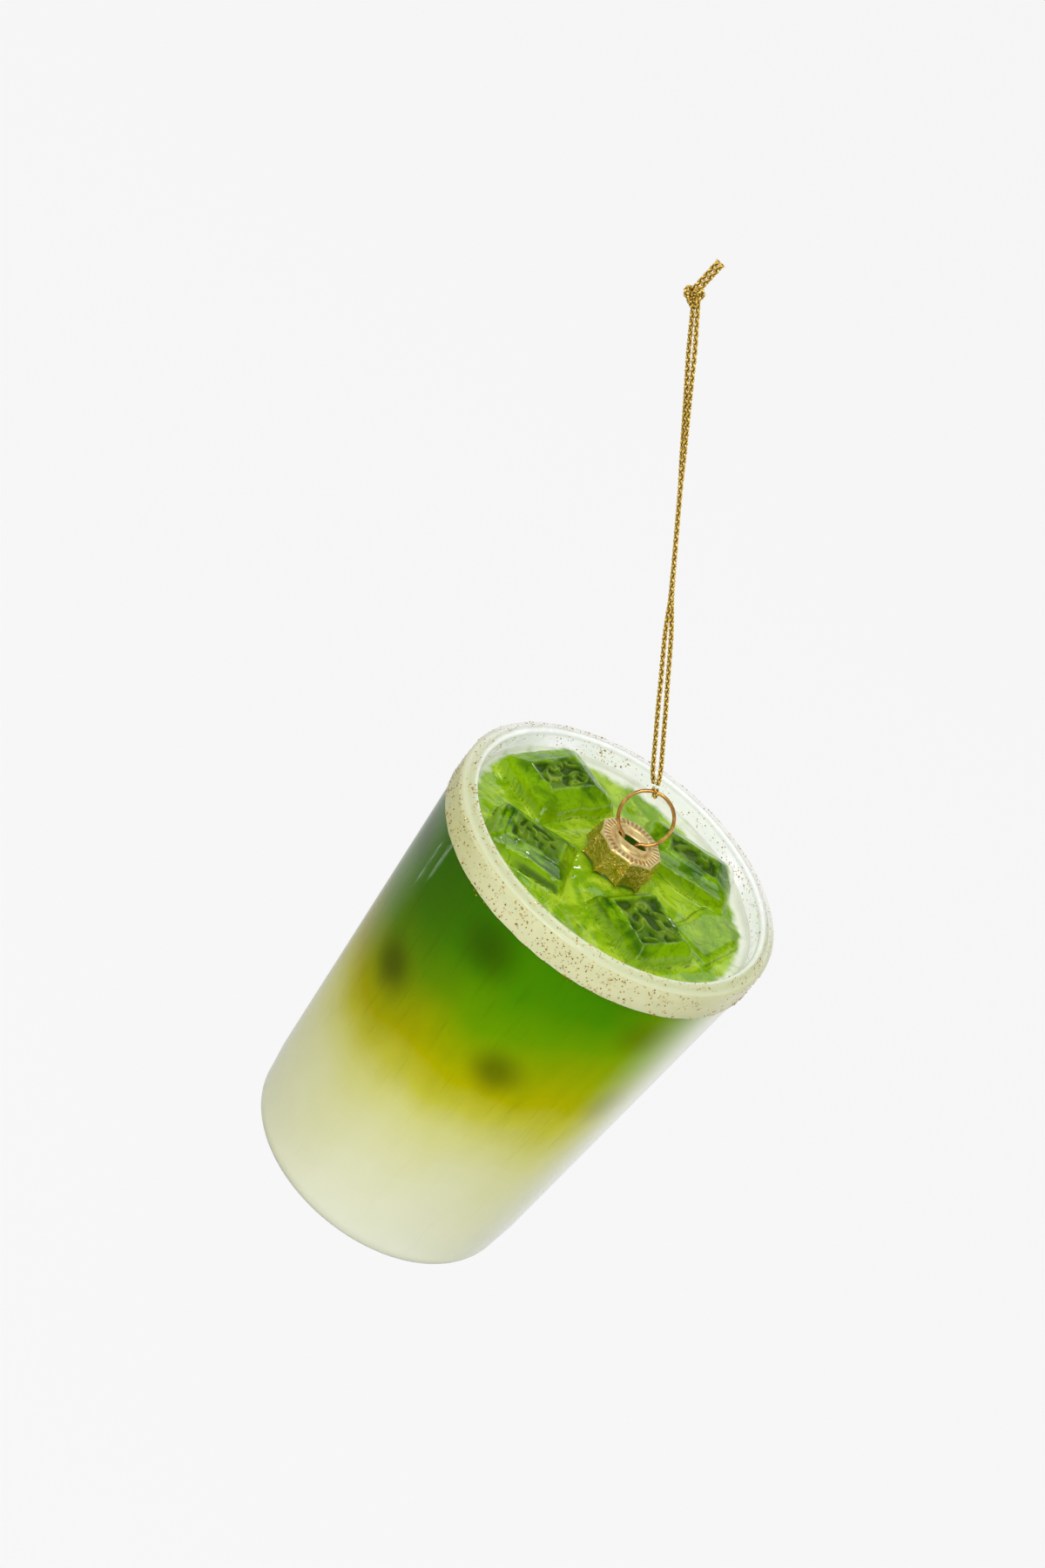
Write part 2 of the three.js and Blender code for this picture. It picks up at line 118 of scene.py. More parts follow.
class Bench:
    """Hand tools that work on the selected mesh in edit mode."""

    @staticmethod
    def clear() -> None:
        """Leave edit mode and deselect every object."""
        if bpy.context.object is not None and bpy.context.object.mode != "OBJECT":
            bpy.ops.object.mode_set(mode="OBJECT")
        bpy.ops.object.select_all(action="DESELECT")

    @staticmethod
    def pick(piece: bpy.types.Object) -> None:
        """Select one object alone and make it the active one.

        Args:
            piece: The object.
        """
        Bench.clear()
        piece.select_set(True)
        bpy.context.view_layer.objects.active = piece

    @staticmethod
    def edit() -> None:
        """Go into edit mode with the whole mesh selected."""
        bpy.ops.object.mode_set(mode="EDIT")
        bpy.ops.mesh.select_all(action="SELECT")

    @staticmethod
    def first_point(name: str, point: Point) -> bpy.types.Object:
        """Start a mesh with one vertex and stay in edit mode.

        Args:
            name: Name of the new object.
            point: Place of the vertex in millimetres.

        Returns:
            The new object.
        """
        Bench.clear()
        bpy.ops.mesh.primitive_plane_add(size=1.0, location=(0, 0, 0))
        piece = bpy.context.object
        piece.name = name
        piece.data.name = name
        Bench.edit()
        bpy.ops.mesh.merge(type="CENTER")
        bpy.ops.transform.translate(value=point)
        return piece

    @staticmethod
    def pull_to(start: Point, end: Point) -> None:
        """Extrude the selected vertex from a start point to an end point."""
        step = tuple(b - a for a, b in zip(start, end))
        bpy.ops.mesh.extrude_region_move(TRANSFORM_OT_translate={"value": step})

    @staticmethod
    def spin_up(name: str, profile: Sequence[tuple[float, float]], steps: int,
                closed: bool = False) -> bpy.types.Object:
        """Draw a profile by extruding a vertex and spin it about the axis.

        Args:
            name: Name of the new object.
            profile: Radius and height pairs in millimetres.
            steps: Steps of a full turn.
            closed: Whether the profile's last point joins its first one.

        Returns:
            The turned shape, in object mode, with its normals outwards.
        """
        points = [(radius, 0.0, height) for radius, height in profile]
        piece = Bench.first_point(name, points[0])
        for start, end in zip(points, points[1:]):
            Bench.pull_to(start, end)
        if closed:
            bpy.ops.mesh.select_all(action="DESELECT")
            bpy.ops.object.mode_set(mode="OBJECT")
            for index in (0, len(points) - 1):
                piece.data.vertices[index].select = True
            bpy.ops.object.mode_set(mode="EDIT")
            bpy.ops.mesh.edge_face_add()
        bpy.ops.mesh.select_all(action="SELECT")
        bpy.ops.mesh.spin(steps=steps, angle=2 * math.pi, center=(0, 0, 0), axis=(0, 0, 1))
        bpy.ops.mesh.select_all(action="SELECT")
        bpy.ops.mesh.remove_doubles(threshold=1e-4)
        bpy.ops.mesh.normals_make_consistent(inside=False)
        bpy.ops.object.mode_set(mode="OBJECT")
        return piece

    @staticmethod
    def apply(piece: bpy.types.Object, kind: str, **settings: object) -> None:
        """Add a modifier with its settings and apply it.

        Args:
            piece: The object to work on.
            kind: Blender's name of the modifier type.
            **settings: Values of the modifier's properties.
        """
        Bench.pick(piece)
        modifier = piece.modifiers.new(kind.lower(), kind)
        for key, value in settings.items():
            setattr(modifier, key, value)
        bpy.ops.object.modifier_apply(modifier=modifier.name)

    @staticmethod
    def smooth(piece: bpy.types.Object, degrees: float | None = None) -> None:
        """Shade a piece smooth.

        Args:
            piece: The object to shade.
            degrees: Largest angle between faces that is shaded smooth, or None for all.
        """
        Bench.pick(piece)
        if degrees is None:
            bpy.ops.object.shade_smooth()
        else:
            bpy.ops.object.shade_smooth_by_angle(angle=math.radians(degrees))


def points_of(piece: bpy.types.Object) -> np.ndarray:
    """Read a mesh's vertices.

    Args:
        piece: The object to read.

    Returns:
        One row of three coordinates a vertex.
    """
    place = np.zeros(len(piece.data.vertices) * 3, np.float64)
    piece.data.vertices.foreach_get("co", place)
    return place.reshape(-1, 3)


def move_points(piece: bpy.types.Object, place: np.ndarray) -> None:
    """Write a mesh's vertices from an array of rows."""
    piece.data.vertices.foreach_set("co", np.asarray(place, np.float64).ravel())
    piece.data.update()


def mark(piece: bpy.types.Object, name: str, values: np.ndarray) -> None:
    """Store one number a vertex under a name that a material reads."""
    layer = piece.data.attributes.new(name, "FLOAT", "POINT")
    layer.data.foreach_set("value", np.asarray(values, np.float32))


def mesh_from(name: str, places: np.ndarray, faces: Sequence[Sequence[int]]) -> bpy.types.Object:
    """Make an object from points and faces, linked to the scene.

    Args:
        name: Name of the object.
        places: One row of coordinates a point.
        faces: The points of each face.

    Returns:
        The new object.
    """
    mesh = bpy.data.meshes.new(name)
    mesh.from_pydata([tuple(p) for p in places], [], [tuple(f) for f in faces])
    mesh.update()
    piece = bpy.data.objects.new(name, mesh)
    bpy.context.scene.collection.objects.link(piece)
    return piece


def hand_over(piece: bpy.types.Object, body: Body, nodes: Sequence[str],
              finish: bpy.types.Material, smooth: float | None = 40.0) -> bpy.types.Object:
    """Move a finished millimetre mesh into the row frame and let it ride.

    Args:
        piece: The object, its mesh in millimetres in the tumbler's frame.
        body: The body that it moves with.
        nodes: CAD nodes that it stands for.
        finish: Its material.
        smooth: Largest angle that is shaded smooth, or None for all.

    Returns:
        The same object.
    """
    Bench.smooth(piece, smooth)
    piece.data.transform(Matrix.Translation(RIM) @ Matrix.Scale(MM, 4))
    piece.data.update()
    piece.data.materials.append(finish)
    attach(piece, body.value)
    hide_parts(*nodes)
    LOG.info("%s: %d points, on %s", piece.name, len(piece.data.vertices), body.value)
    return piece


def smoothstep(low: float, high: float, value: np.ndarray) -> np.ndarray:
    """Ease from 0 to 1 as the value goes from low to high."""
    share = np.clip((value - low) / (high - low), 0, 1)
    return share * share * (3 - 2 * share)


@dataclass(frozen=True)
class Ripple:
    """Seeded smooth noise over a plane, from -1 to 1."""

    seed: int
    size: float

    def at(self, x: np.ndarray, y: np.ndarray) -> np.ndarray:
        """Give the noise at points.

        Args:
            x: First coordinates.
            y: Second coordinates.

        Returns:
            One value a point.
        """
        lattice = np.random.default_rng(self.seed).uniform(-1, 1, (64, 64))
        u, v = x / self.size, y / self.size
        i, j = np.floor(u).astype(int), np.floor(v).astype(int)
        s, t = u - i, v - j
        s, t = s * s * (3 - 2 * s), t * t * (3 - 2 * t)
        a, b = lattice[i % 64, j % 64], lattice[(i + 1) % 64, j % 64]
        c, d = lattice[i % 64, (j + 1) % 64], lattice[(i + 1) % 64, (j + 1) % 64]
        return (a * (1 - s) + b * s) * (1 - t) + (c * (1 - s) + d * s) * t


class Tree:
    """The node tree of a material or of the world, built one node at a time."""

    def __init__(self, owner: bpy.types.Material | bpy.types.World, output: str) -> None:
        """Empty the owner's tree down to one output.

        Args:
            owner: The material or world.
            output: Type of its output node without the leading ShaderNode.
        """
        owner.use_nodes = True
        self.tree = owner.node_tree
        self.tree.nodes.clear()
        self.output = self.add(output)

    def add(self, kind: str, inputs: dict[str | int, object] | None = None,
            **settings: object) -> bpy.types.Node:
        """Add a node, set its properties and fill its inputs.

        Args:
            kind: Node type without the leading ShaderNode.
            inputs: Values or output sockets by input name or index.
            **settings: Properties of the node.

        Returns:
            The new node.
        """
        node = self.tree.nodes.new("ShaderNode" + kind)
        for key, value in settings.items():
            setattr(node, key, value)
        for key, value in (inputs or {}).items():
            self.feed(node.inputs[key], value)
        return node

    def feed(self, socket: Socket, value: object) -> None:
        """Fill an input of a node.

        Args:
            socket: The input.
            value: An output to link to it, or a plain value.
        """
        if isinstance(value, Socket):
            self.tree.links.new(value, socket)
        else:
            socket.default_value = value

    def math(self, operation: str, a: object, b: object = 0.0) -> Socket:
        """Join two numbers with an arithmetic operation."""
        return self.add("Math", {0: a, 1: b}, operation=operation).outputs[0]

    def span(self, value: object, low: float, high: float, to_low: float = 0.0,
             to_high: float = 1.0, ease: bool = True) -> Socket:
        """Map a range of a number onto another range, clamped."""
        kind = "SMOOTHSTEP" if ease else "LINEAR"
        return self.add("MapRange", {"Value": value, "From Min": low, "From Max": high,
                                     "To Min": to_low, "To Max": to_high},
                        interpolation_type=kind).outputs["Result"]

    def between(self, share: Socket, a: object, b: object) -> Socket:
        """Mix two numbers."""
        return self.add("Mix", {0: share, 2: a, 3: b}, data_type="FLOAT").outputs[0]

    def show(self, shader: bpy.types.Node) -> None:
        """Join a shader node to the output."""
        self.feed(self.output.inputs["Surface"], shader.outputs[0])

    def seen(self) -> Socket:
        """Give 1 for camera, glossy and transmission rays.

        Returns:
            The number's socket.
        """
        rays = self.add("LightPath").outputs
        total = rays["Is Camera Ray"]
        for name in ("Is Glossy Ray", "Is Transmission Ray"):
            total = self.math("MAXIMUM", total, rays[name])
        return total


class Nodes(Tree):
    """A material's node tree round a Principled shader."""

    def __init__(self, name: str) -> None:
        """Start a material with its shader joined to the output.

        Args:
            name: Name of the material.
        """
        self.material = bpy.data.materials.new(name)
        super().__init__(self.material, "OutputMaterial")
        self.shader = self.add("BsdfPrincipled")
        self.show(self.shader)

    def set(self, **sockets: object) -> None:
        """Fill the shader's sockets, with underscores for blanks in their names."""
        for key, value in sockets.items():
            self.feed(self.shader.inputs[key.replace("_", " ")], value)

    def place(self, scale: Point = (1, 1, 1)) -> Socket:
        """Give Object coordinates about the rim's middle, in millimetres.

        Args:
            scale: Factor along each axis.

        Returns:
            The coordinates' socket.
        """
        coords = self.add("TexCoord").outputs["Object"]
        centred = self.add("VectorMath", {0: coords, 1: tuple(RIM)}, operation="SUBTRACT")
        factors = tuple(s / MM for s in scale)
        return self.add("VectorMath", {0: centred.outputs[0], 1: factors}, operation="MULTIPLY").outputs[0]

    def axis(self, name: str) -> Socket:
        """Give one coordinate about the rim's middle, in millimetres."""
        return self.add("SeparateXYZ", {0: self.place()}).outputs[name]

    def attribute(self, name: str) -> Socket:
        """Read a number that was stored on the vertices."""
        return self.add("Attribute", attribute_name=name).outputs["Fac"]

    def noise(self, scale: float | Point, detail: float = 3.0, roughness: float = 0.55,
              distortion: float = 0.0) -> Socket:
        """Give smooth noise, its scale in cells a millimetre, one for all axes or one for each."""
        where = self.place(scale if isinstance(scale, tuple) else (scale,) * 3)
        return self.add("TexNoise", {"Vector": where, "Scale": 1.0, "Detail": detail,
                                     "Roughness": roughness, "Distortion": distortion}).outputs["Fac"]

    def mix(self, share: object, a: object, b: object, blend: str = "MIX") -> Socket:
        """Mix two colours."""
        node = self.add("Mix", {0: share, 6: a, 7: b}, data_type="RGBA", blend_type=blend)
        return node.outputs[2]

    def ramp(self, value: object, stops: Sequence[tuple[float, Colour]]) -> Socket:
        """Colour a number.

        Args:
            value: The number, from 0 to 1.
            stops: Places and colours along the ramp.

        Returns:
            The colour's socket.
        """
        node = self.add("ValToRGB", {"Fac": value})
        bar = node.color_ramp
        bar.elements[0].position, bar.elements[0].color = stops[0]
        bar.elements[1].position, bar.elements[1].color = stops[-1]
        for position, colour in stops[1:-1]:
            bar.elements.new(position).color = colour
        return node.outputs["Color"]

    def bump(self, height: object, distance: float, strength: object = 1.0,
             normal: Socket | None = None) -> Socket:
        """Turn a height into a shading normal.

        Args:
            height: The height's socket.
            distance: Millimetres that a height of 1 stands out.
            strength: Share of the effect.
            normal: A normal to build on.

        Returns:
            The normal's socket.
        """
        inputs = {"Height": height, "Distance": distance * MM, "Strength": strength}
        if normal is not None:
            inputs["Normal"] = normal
        return self.add("Bump", inputs).outputs["Normal"]


@dataclass(frozen=True)
class Finish:
    """A material's recipe: each finish joins its own nodes to the Principled shader."""

    name: ClassVar[str] = "finish"

    def join(self, n: Nodes) -> None:
        """Join the nodes of the material.

        Args:
            n: The material's nodes.
        """

    def build(self) -> bpy.types.Material:
        """Make the material.

        Returns:
            The material.
        """
        n = Nodes(self.name)
        self.join(n)
        return n.material


@dataclass(frozen=True)
class PaintSpot:
    """A soft dark spot in the wall's paint: angle in degrees, height and reach in millimetres."""

    angle: float
    height: float
    reach: float
    depth: float


@dataclass(frozen=True)
class WallPaint(Finish):
    """Clear glass painted inside: green under the band, olive at mid height, milky at the base."""

    name: ClassVar[str] = "wall_paint"
    top: float = -5.0
    base: float = -87.0
    wall: float = 30.0
    stops: tuple[tuple[float, Colour], ...] = (
        (-5, srgb(60, 126, 0)), (-16, srgb(72, 136, 0)), (-25, srgb(104, 152, 0)),
        (-32, srgb(148, 164, 0)), (-38, srgb(174, 172, 0)), (-44, srgb(194, 192, 62)),
        (-51, srgb(209, 209, 128)), (-60, srgb(216, 217, 164)), (-72, srgb(222, 224, 188)),
        (-87, srgb(231, 233, 211)),
    )
    spots: tuple[PaintSpot, ...] = (
        PaintSpot(-111, -12.5, 9, 0.62), PaintSpot(-50, -13, 8, 0.55), PaintSpot(-166, -14, 8, 0.5),
        PaintSpot(10, -12, 8, 0.55), PaintSpot(66, -14, 9, 0.6), PaintSpot(124, -12, 8, 0.5),
        PaintSpot(-138, -33, 8, 0.66), PaintSpot(-85, -33, 7.5, 0.62), PaintSpot(-38, -33, 7.5, 0.5),
        PaintSpot(14, -34, 8, 0.6), PaintSpot(62, -32, 7.5, 0.62), PaintSpot(112, -34, 8, 0.6),
        PaintSpot(164, -32, 8, 0.6),
    )
    spot_heart: float = 0.8
    spot_tone: Colour = srgb(46, 62, 2)
    # pale_edge and lime are mixed in as painted light: a pale sheen and a lime glow at grazing angles on the
    # right side.
    pale_edge: Colour = srgb(238, 241, 220)
    lime: Colour = srgb(118, 124, 0)
    # left_shade is painted shade for the wall's left side.
    left_shade: Colour = (0.55, 0.52, 0.2, 1.0)
    mottle: Colour = (0.14, 0.2, 0.0, 1.0)
    streak: Colour = (0.05, 0.1, 0.0, 1.0)

    def join(self, n: Nodes) -> None:
        """Join the nodes of the material.

        Args:
            n: The material's nodes.
        """
        place = n.place()
        across, height = n.axis("X"), n.axis("Z")
        drift = n.noise((0.045, 0.045, 0.03), 2.0)
        level = n.math("ADD", height, n.span(drift, 0.25, 0.75, -4.5, 4.5, ease=False))
        level = n.math("ADD", level, n.span(across, -16, 16, 2.5, -2.5))
        reach = self.top - self.base
        stops = [((z - self.base) / reach, colour) for z, colour in reversed(self.stops)]
        paint = n.ramp(n.span(level, self.base, self.top, ease=False), stops)
        mottled = n.noise((0.3, 0.3, 0.12), 4.0)
        dense = n.span(height, -58, -36, 0.02, 0.16)
        paint = n.mix(n.math("MULTIPLY", n.span(mottled, 0.35, 0.75), dense), paint, self.mottle)
        for spot in self.spots:
            turn = math.radians(spot.angle)
            middle = (self.wall * math.cos(turn), self.wall * math.sin(turn), spot.height)
            away = n.add("VectorMath", {0: place, 1: middle}, operation="DISTANCE").outputs["Value"]
            # Soft dark spots in the paint itself.
            paint = n.mix(n.span(away, spot.reach, self.spot_heart, 0.0, spot.depth), paint, self.spot_tone)
        streaky = n.noise((0.9, 0.9, 0.02), 3.0, 0.6)
        paint = n.mix(n.math("MULTIPLY", n.span(streaky, 0.56, 0.72), dense), paint, self.streak)
        # Painted reflection and light: towards the right side the paint is screened with lime, then mixed to
        # pale white at grazing angles.
        grazing = n.add("LayerWeight", {"Blend": 0.5}).outputs["Facing"]
        # Painted shade: the left side is multiplied darker and more olive, most where the paint is green.
        shaded = n.math("MULTIPLY", n.span(across, -2, -27), n.span(height, -62, -22, 0.22, 0.95))
        paint = n.mix(shaded, paint, self.left_shade, "MULTIPLY")
        side = n.span(across, -12, 18, 0.05, 0.96)
        paint = n.mix(n.math("MULTIPLY", n.span(grazing, 0.3, 0.66), side), paint, self.lime, "SCREEN")
        paint = n.mix(n.math("MULTIPLY", n.span(grazing, 0.46, 0.9), side), paint, self.pale_edge)
        n.set(Base_Color=paint, Roughness=0.04, IOR=GLASS_IOR,
              Normal=n.bump(n.noise((1.6, 1.6, 0.05), 2.0), 0.05, 0.25))


@dataclass(frozen=True)
class DrinkPaint(Finish):
    """Swirled green paint under the clear glass of the drink's surface."""

    name: ClassVar[str] = "drink_paint"
    deep: Colour = srgb(48, 90, 0)
    lime: Colour = srgb(108, 150, 0)
    face: Colour = srgb(134, 172, 0)
    pale: Colour = srgb(160, 190, 40)
    pale_edge: Colour = srgb(214, 218, 202)
    top: Colour = srgb(58, 92, 0)
    pit: Colour = srgb(22, 48, 0)
    frost: Colour = srgb(124, 148, 44)
    crease: Colour = srgb(18, 58, 0)

    def join(self, n: Nodes) -> None:
        """Join the nodes, which read the marks of the drink's relief.

        Args:
            n: The material's nodes.
        """
        paint = n.mix(n.span(n.noise(0.1, 3.0, 0.5, 2.0), 0.34, 0.6), self.deep, self.lime)
        paint = n.mix(n.span(n.attribute("gleam"), 0.1, 1.0, 0.0, 0.7), paint, self.face)
        flat = n.mix(n.span(n.noise(0.13, 3.0, 0.5, 1.5), 0.35, 0.65), self.lime, self.pale)
        paint = n.mix(n.span(n.attribute("low"), 0.0, 1.0, 0.0, 0.85), paint, flat)
        off_vein = n.math("ABSOLUTE", n.math("SUBTRACT", n.noise(0.16, 3.0, 0.5, 2.5), 0.5))
        paint = n.mix(n.span(off_vein, 0.03, 0.0, 0.0, 0.4), paint, self.deep)
        pitted = n.mix(n.span(n.noise(0.3, 2.0, 0.5), 0.35, 0.65, 0.0, 0.35), self.top, self.frost)
        # The crease mark is painted shade: a dark line at each cube's foot where it meets the drink's level.
        for name, low, high, strength, tone in (
                ("streak", 0.3, 0.9, 0.75, self.crease), ("crease", 0.35, 1.0, 0.6, self.crease),
                ("rough_top", 0.1, 0.9, 0.85, pitted), ("ridge", 0.2, 1.0, 0.75, self.frost),
                ("pit", 0.1, 0.9, 0.75, self.pit), ("crest", 0.3, 1.0, 0.6, self.frost)):
            paint = n.mix(n.span(n.attribute(name), low, high, 0.0, strength), paint, tone)
        blotted = n.span(n.noise(0.25, 4.0), 0.3, 0.7, -0.3, 0.3, ease=False)
        edge = n.math("ADD", n.attribute("pale_edge"), blotted)
        paint = n.mix(n.span(edge, 0.3, 0.95), paint, self.pale_edge)
        rough = n.attribute("rough_top")
        n.set(Base_Color=paint, IOR=GLASS_IOR, Normal=n.bump(n.noise(0.8, 3.0), 0.08, 0.4),
              Roughness=n.span(rough, 0.2, 0.8, 0.045, 0.16),
              Specular_IOR_Level=n.span(rough, 0.2, 0.8, 0.45, 0.1))


@dataclass(frozen=True)
class MilkLacquer(Finish):
    """Milky lacquer of the rim's band, slightly see-through, thinner over the lip."""

    name: ClassVar[str] = "milk_lacquer"
    body: Colour = srgb(222, 222, 176)
    thin: Colour = srgb(206, 211, 170)
    rear: Colour = srgb(236, 239, 230)
    olive: Colour = srgb(164, 164, 72)
    cloudy: Colour = srgb(200, 206, 150)
    dusty: Colour = srgb(190, 160, 90)
    solid: float = 0.93
    thin_solid: float = 0.62

    def join(self, n: Nodes) -> None:
        """Join the nodes of the material.

        Args:
            n: The material's nodes.
        """
        across, depth, height = n.axis("X"), n.axis("Y"), n.axis("Z")
        cloud = n.noise((0.16, 0.16, 0.3), 4.0)
        lip = n.span(height, -0.7, 0.4)
        paint = n.mix(lip, self.body, n.mix(n.span(depth, -14, 20), self.thin, self.rear))
        far = n.math("MULTIPLY", n.span(depth, 2, 22), n.span(height, -2.2, -0.9))
        paint = n.mix(far, paint, self.rear)
        paint = n.mix(n.span(cloud, 0.3, 0.7, 0.0, 0.25), paint, self.cloudy)
        paint = n.mix(n.span(n.noise(2.5, 2.0), 0.58, 0.75, 0.0, 0.14), paint, self.dusty)
        # Painted shade: the band's lower part turns olive towards the left side.
        shaded = n.math("MULTIPLY", n.span(across, -14, -30, 0.0, 0.4), n.span(height, -0.7, -1.6))
        paint = n.mix(shaded, paint, self.olive)
        flat = n.add("VectorMath", {0: n.place(), 1: (1, 1, 0)}, operation="MULTIPLY").outputs[0]
        away = n.add("VectorMath", {0: flat}, operation="LENGTH").outputs["Value"]
        solid = n.span(lip, 0.0, 1.0, self.solid, self.thin_solid, ease=False)
        solid = n.math("MULTIPLY", solid, n.span(away, 30.45, 31.5, 0.04, 1.0))
        solid = n.math("MULTIPLY", solid, n.span(far, 0.0, 1.0, 1.0, 0.3))
        n.set(Base_Color=paint, Roughness=n.span(cloud, 0.3, 0.7, 0.12, 0.26, ease=False), IOR=GLASS_IOR,
              Alpha=solid, Normal=n.bump(n.noise(1.2, 3.0), 0.1, 0.4))


@dataclass(frozen=True)
class ClearLip(Finish):
    """Clear glass of the lip and the well's wall, with a thin milky film."""

    name: ClassVar[str] = "clear_lip"
    film: Colour = srgb(249, 249, 253)
    cloudy: Colour = srgb(241, 242, 242)
    edge: Colour = srgb(212, 218, 196)
    rear: Colour = srgb(228, 231, 226)
    solid: float = 0.8
    cloudy_solid: float = 1.05

    def join(self, n: Nodes) -> None:
        """Join the nodes of the material.

        Args:
            n: The material's nodes.
        """
        cloud = n.noise((0.15, 0.15, 0.4), 4.0, 0.6, 0.8)
        paint = n.mix(n.span(cloud, 0.35, 0.7), self.film, self.cloudy)
        height = n.axis("Z")
        ridge = n.span(height, -0.7, 0.2)
        paint = n.mix(ridge, paint, n.mix(n.span(n.axis("Y"), -14, 20), self.edge, self.rear))
        # Painted glow: below the ridge the glass emits a faint light in the film's colour, which brightens
        # the well's wall.
        n.set(Base_Color=paint, Roughness=n.span(height, -0.7, 0.2, 0.08, 0.4), IOR=GLASS_IOR,
              Emission_Color=self.film, Emission_Strength=n.span(ridge, 0.0, 1.0, 0.17, 0.0),
              Alpha=n.span(cloud, 0.3, 0.7, self.solid, self.cloudy_solid, ease=False),
              Normal=n.bump(n.noise((0.7, 0.7, 0.35), 2.0), 0.15, 0.4))


@dataclass(frozen=True)
class GoldSheet(Finish):
    """Stamped gold sheet, bright, with handling marks and painted shade in the folds."""

    name: ClassVar[str] = "gold_sheet"
    bright: Colour = srgb(246, 222, 158)
    dull: Colour = srgb(214, 172, 84)
    shade: Colour = srgb(116, 78, 34)
    rich: Colour = srgb(214, 184, 36)
    top: float = 3.9
    skirt: float = 3.3

    def down(self, n: Nodes, height: Socket, above: float, below: float) -> Socket:
        """Go from a value on the cap's top to another on its skirt."""
        return n.span(height, self.top, self.skirt, above, below)

    def join(self, n: Nodes) -> None:
        """Join the nodes of the material.

        Args:
            n: The material's nodes.
        """
        paint = n.mix(n.span(n.noise(0.5, 4.0, 0.6), 0.4, 0.75), self.bright, self.dull)
        # Painted shade: darker in the furrows between the ribs and along the groove round the disc.
        paint = n.mix(n.span(n.attribute("fold"), 0.4, 1.0, 0.0, 0.6), paint, self.shade)
        height = n.axis("Z")
        # Painted reflection: the skirt is mixed towards a richer gold than the top.
        paint = n.mix(self.down(n, height, 0.0, 0.75), paint, self.rich)
        crumple = n.noise((1.1, 1.1, 0.8), 3.0, 0.65, 0.6)
        normal = n.bump(crumple, 0.6, self.down(n, height, 0.05, 1.0))
        normal = n.bump(n.noise((6.0, 0.7, 2.0), 2.0), 0.03, 0.3, normal)
        n.set(Base_Color=paint, Metallic=self.down(n, height, 0.72, 0.95), Normal=normal,
              Roughness=self.down(n, height, 0.36, 0.22))


@dataclass(frozen=True)
class GoldWire(Finish):
    """Drawn brass-coloured wire, darker than the cap."""

    name: ClassVar[str] = "gold_wire"
    bright: Colour = srgb(228, 180, 98)
    dull: Colour = srgb(180, 124, 56)

    def join(self, n: Nodes) -> None:
        """Join the nodes of the material.

        Args:
            n: The material's nodes.
        """
        tone = n.noise(0.6, 3.0)
        n.set(Base_Color=n.mix(n.span(tone, 0.35, 0.7), self.bright, self.dull), Metallic=0.75,
              Roughness=n.span(tone, 0.3, 0.7, 0.2, 0.3, ease=False),
              Normal=n.bump(n.noise(4.0, 2.0), 0.03, 0.4))


@dataclass(frozen=True)
class MetallicYarn(Finish):
    """Foil-wrapped yarn: bright gold turns over a brown core tone, with painted highlights on the turns and
    painted shade where each yarn dives under the others.
    """

    name: ClassVar[str] = "metallic_yarn"
    foil: Colour = srgb(246, 204, 62)
    light: Colour = srgb(255, 244, 180)
    core: Colour = srgb(198, 144, 28)
    dark: Colour = srgb(84, 52, 2)
    wraps: float = 12.0

    def join(self, n: Nodes) -> None:
        """Join the nodes, which read how far along the yarn and out from it each point is.

        Args:
            n: The material's nodes.
        """
        turn = n.math("SINE", n.math("MULTIPLY", n.attribute("run"), self.wraps))
        tone = n.noise(1.4, 3.0, 0.6)
        paint = n.mix(n.span(tone, 0.38, 0.62, 0.0, 0.6), self.foil, self.core)
        # Painted highlight: the crest of each turn of foil is lightened.
        paint = n.mix(n.span(turn, 0.2, 0.9, 0.0, 0.7), paint, self.light)
        # Painted shade: darker where the yarn runs near the cord's middle, under the other yarns.
        under = n.span(n.attribute("out"), 0.74, 0.34)
        paint = n.mix(n.math("MULTIPLY", under, 0.95), paint, self.dark)
        n.set(Base_Color=paint, Metallic=0.3, Roughness=0.22, Normal=n.bump(turn, 0.05, 0.8))


@dataclass(frozen=True)
class GlitterFoil(Finish):
    """Gold and copper foil of the glitter flakes, each flake its own tone."""

    name: ClassVar[str] = "glitter_foil"
    tones: tuple[tuple[float, Colour], ...] = (
        (0.0, srgb(124, 90, 10)), (0.35, srgb(172, 124, 18)), (0.7, srgb(210, 160, 40)),
        (1.0, srgb(252, 228, 120)),
    )
    copper: Colour = srgb(170, 92, 20)

    def join(self, n: Nodes) -> None:
        """Join the nodes, which read the flake's tone.

        Args:
            n: The material's nodes.
        """
        paint = n.ramp(n.attribute("tone"), self.tones)
        paint = n.mix(n.span(n.noise(6.0, 2.0), 0.4, 0.8, 0.0, 0.3), paint, self.copper)
        n.set(Base_Color=paint, Metallic=0.3, Roughness=0.25)


@dataclass(frozen=True)
class HollowPaint(Finish):
    """The paint seen inside the hollow through the neck."""

    name: ClassVar[str] = "hollow_paint"
    shade: Colour = srgb(64, 100, 14)
    deep: Colour = srgb(40, 70, 8)

    def join(self, n: Nodes) -> None:
        """Join the nodes of the material.

        Args:
            n: The material's nodes.
        """
        tone = n.noise(0.3, 3.0)
        # Painted glow: the hollow's paint emits faint green light of its own.
        n.set(Base_Color=n.mix(n.span(tone, 0.3, 0.7), self.shade, self.deep), Roughness=0.4,
              Emission_Color=self.shade, Emission_Strength=0.35)


def headings(points: np.ndarray) -> np.ndarray:
    """Give the direction of a line at each of its points."""
    ahead = np.gradient(points, axis=0)
    return ahead / np.linalg.norm(ahead, axis=1)[:, None]


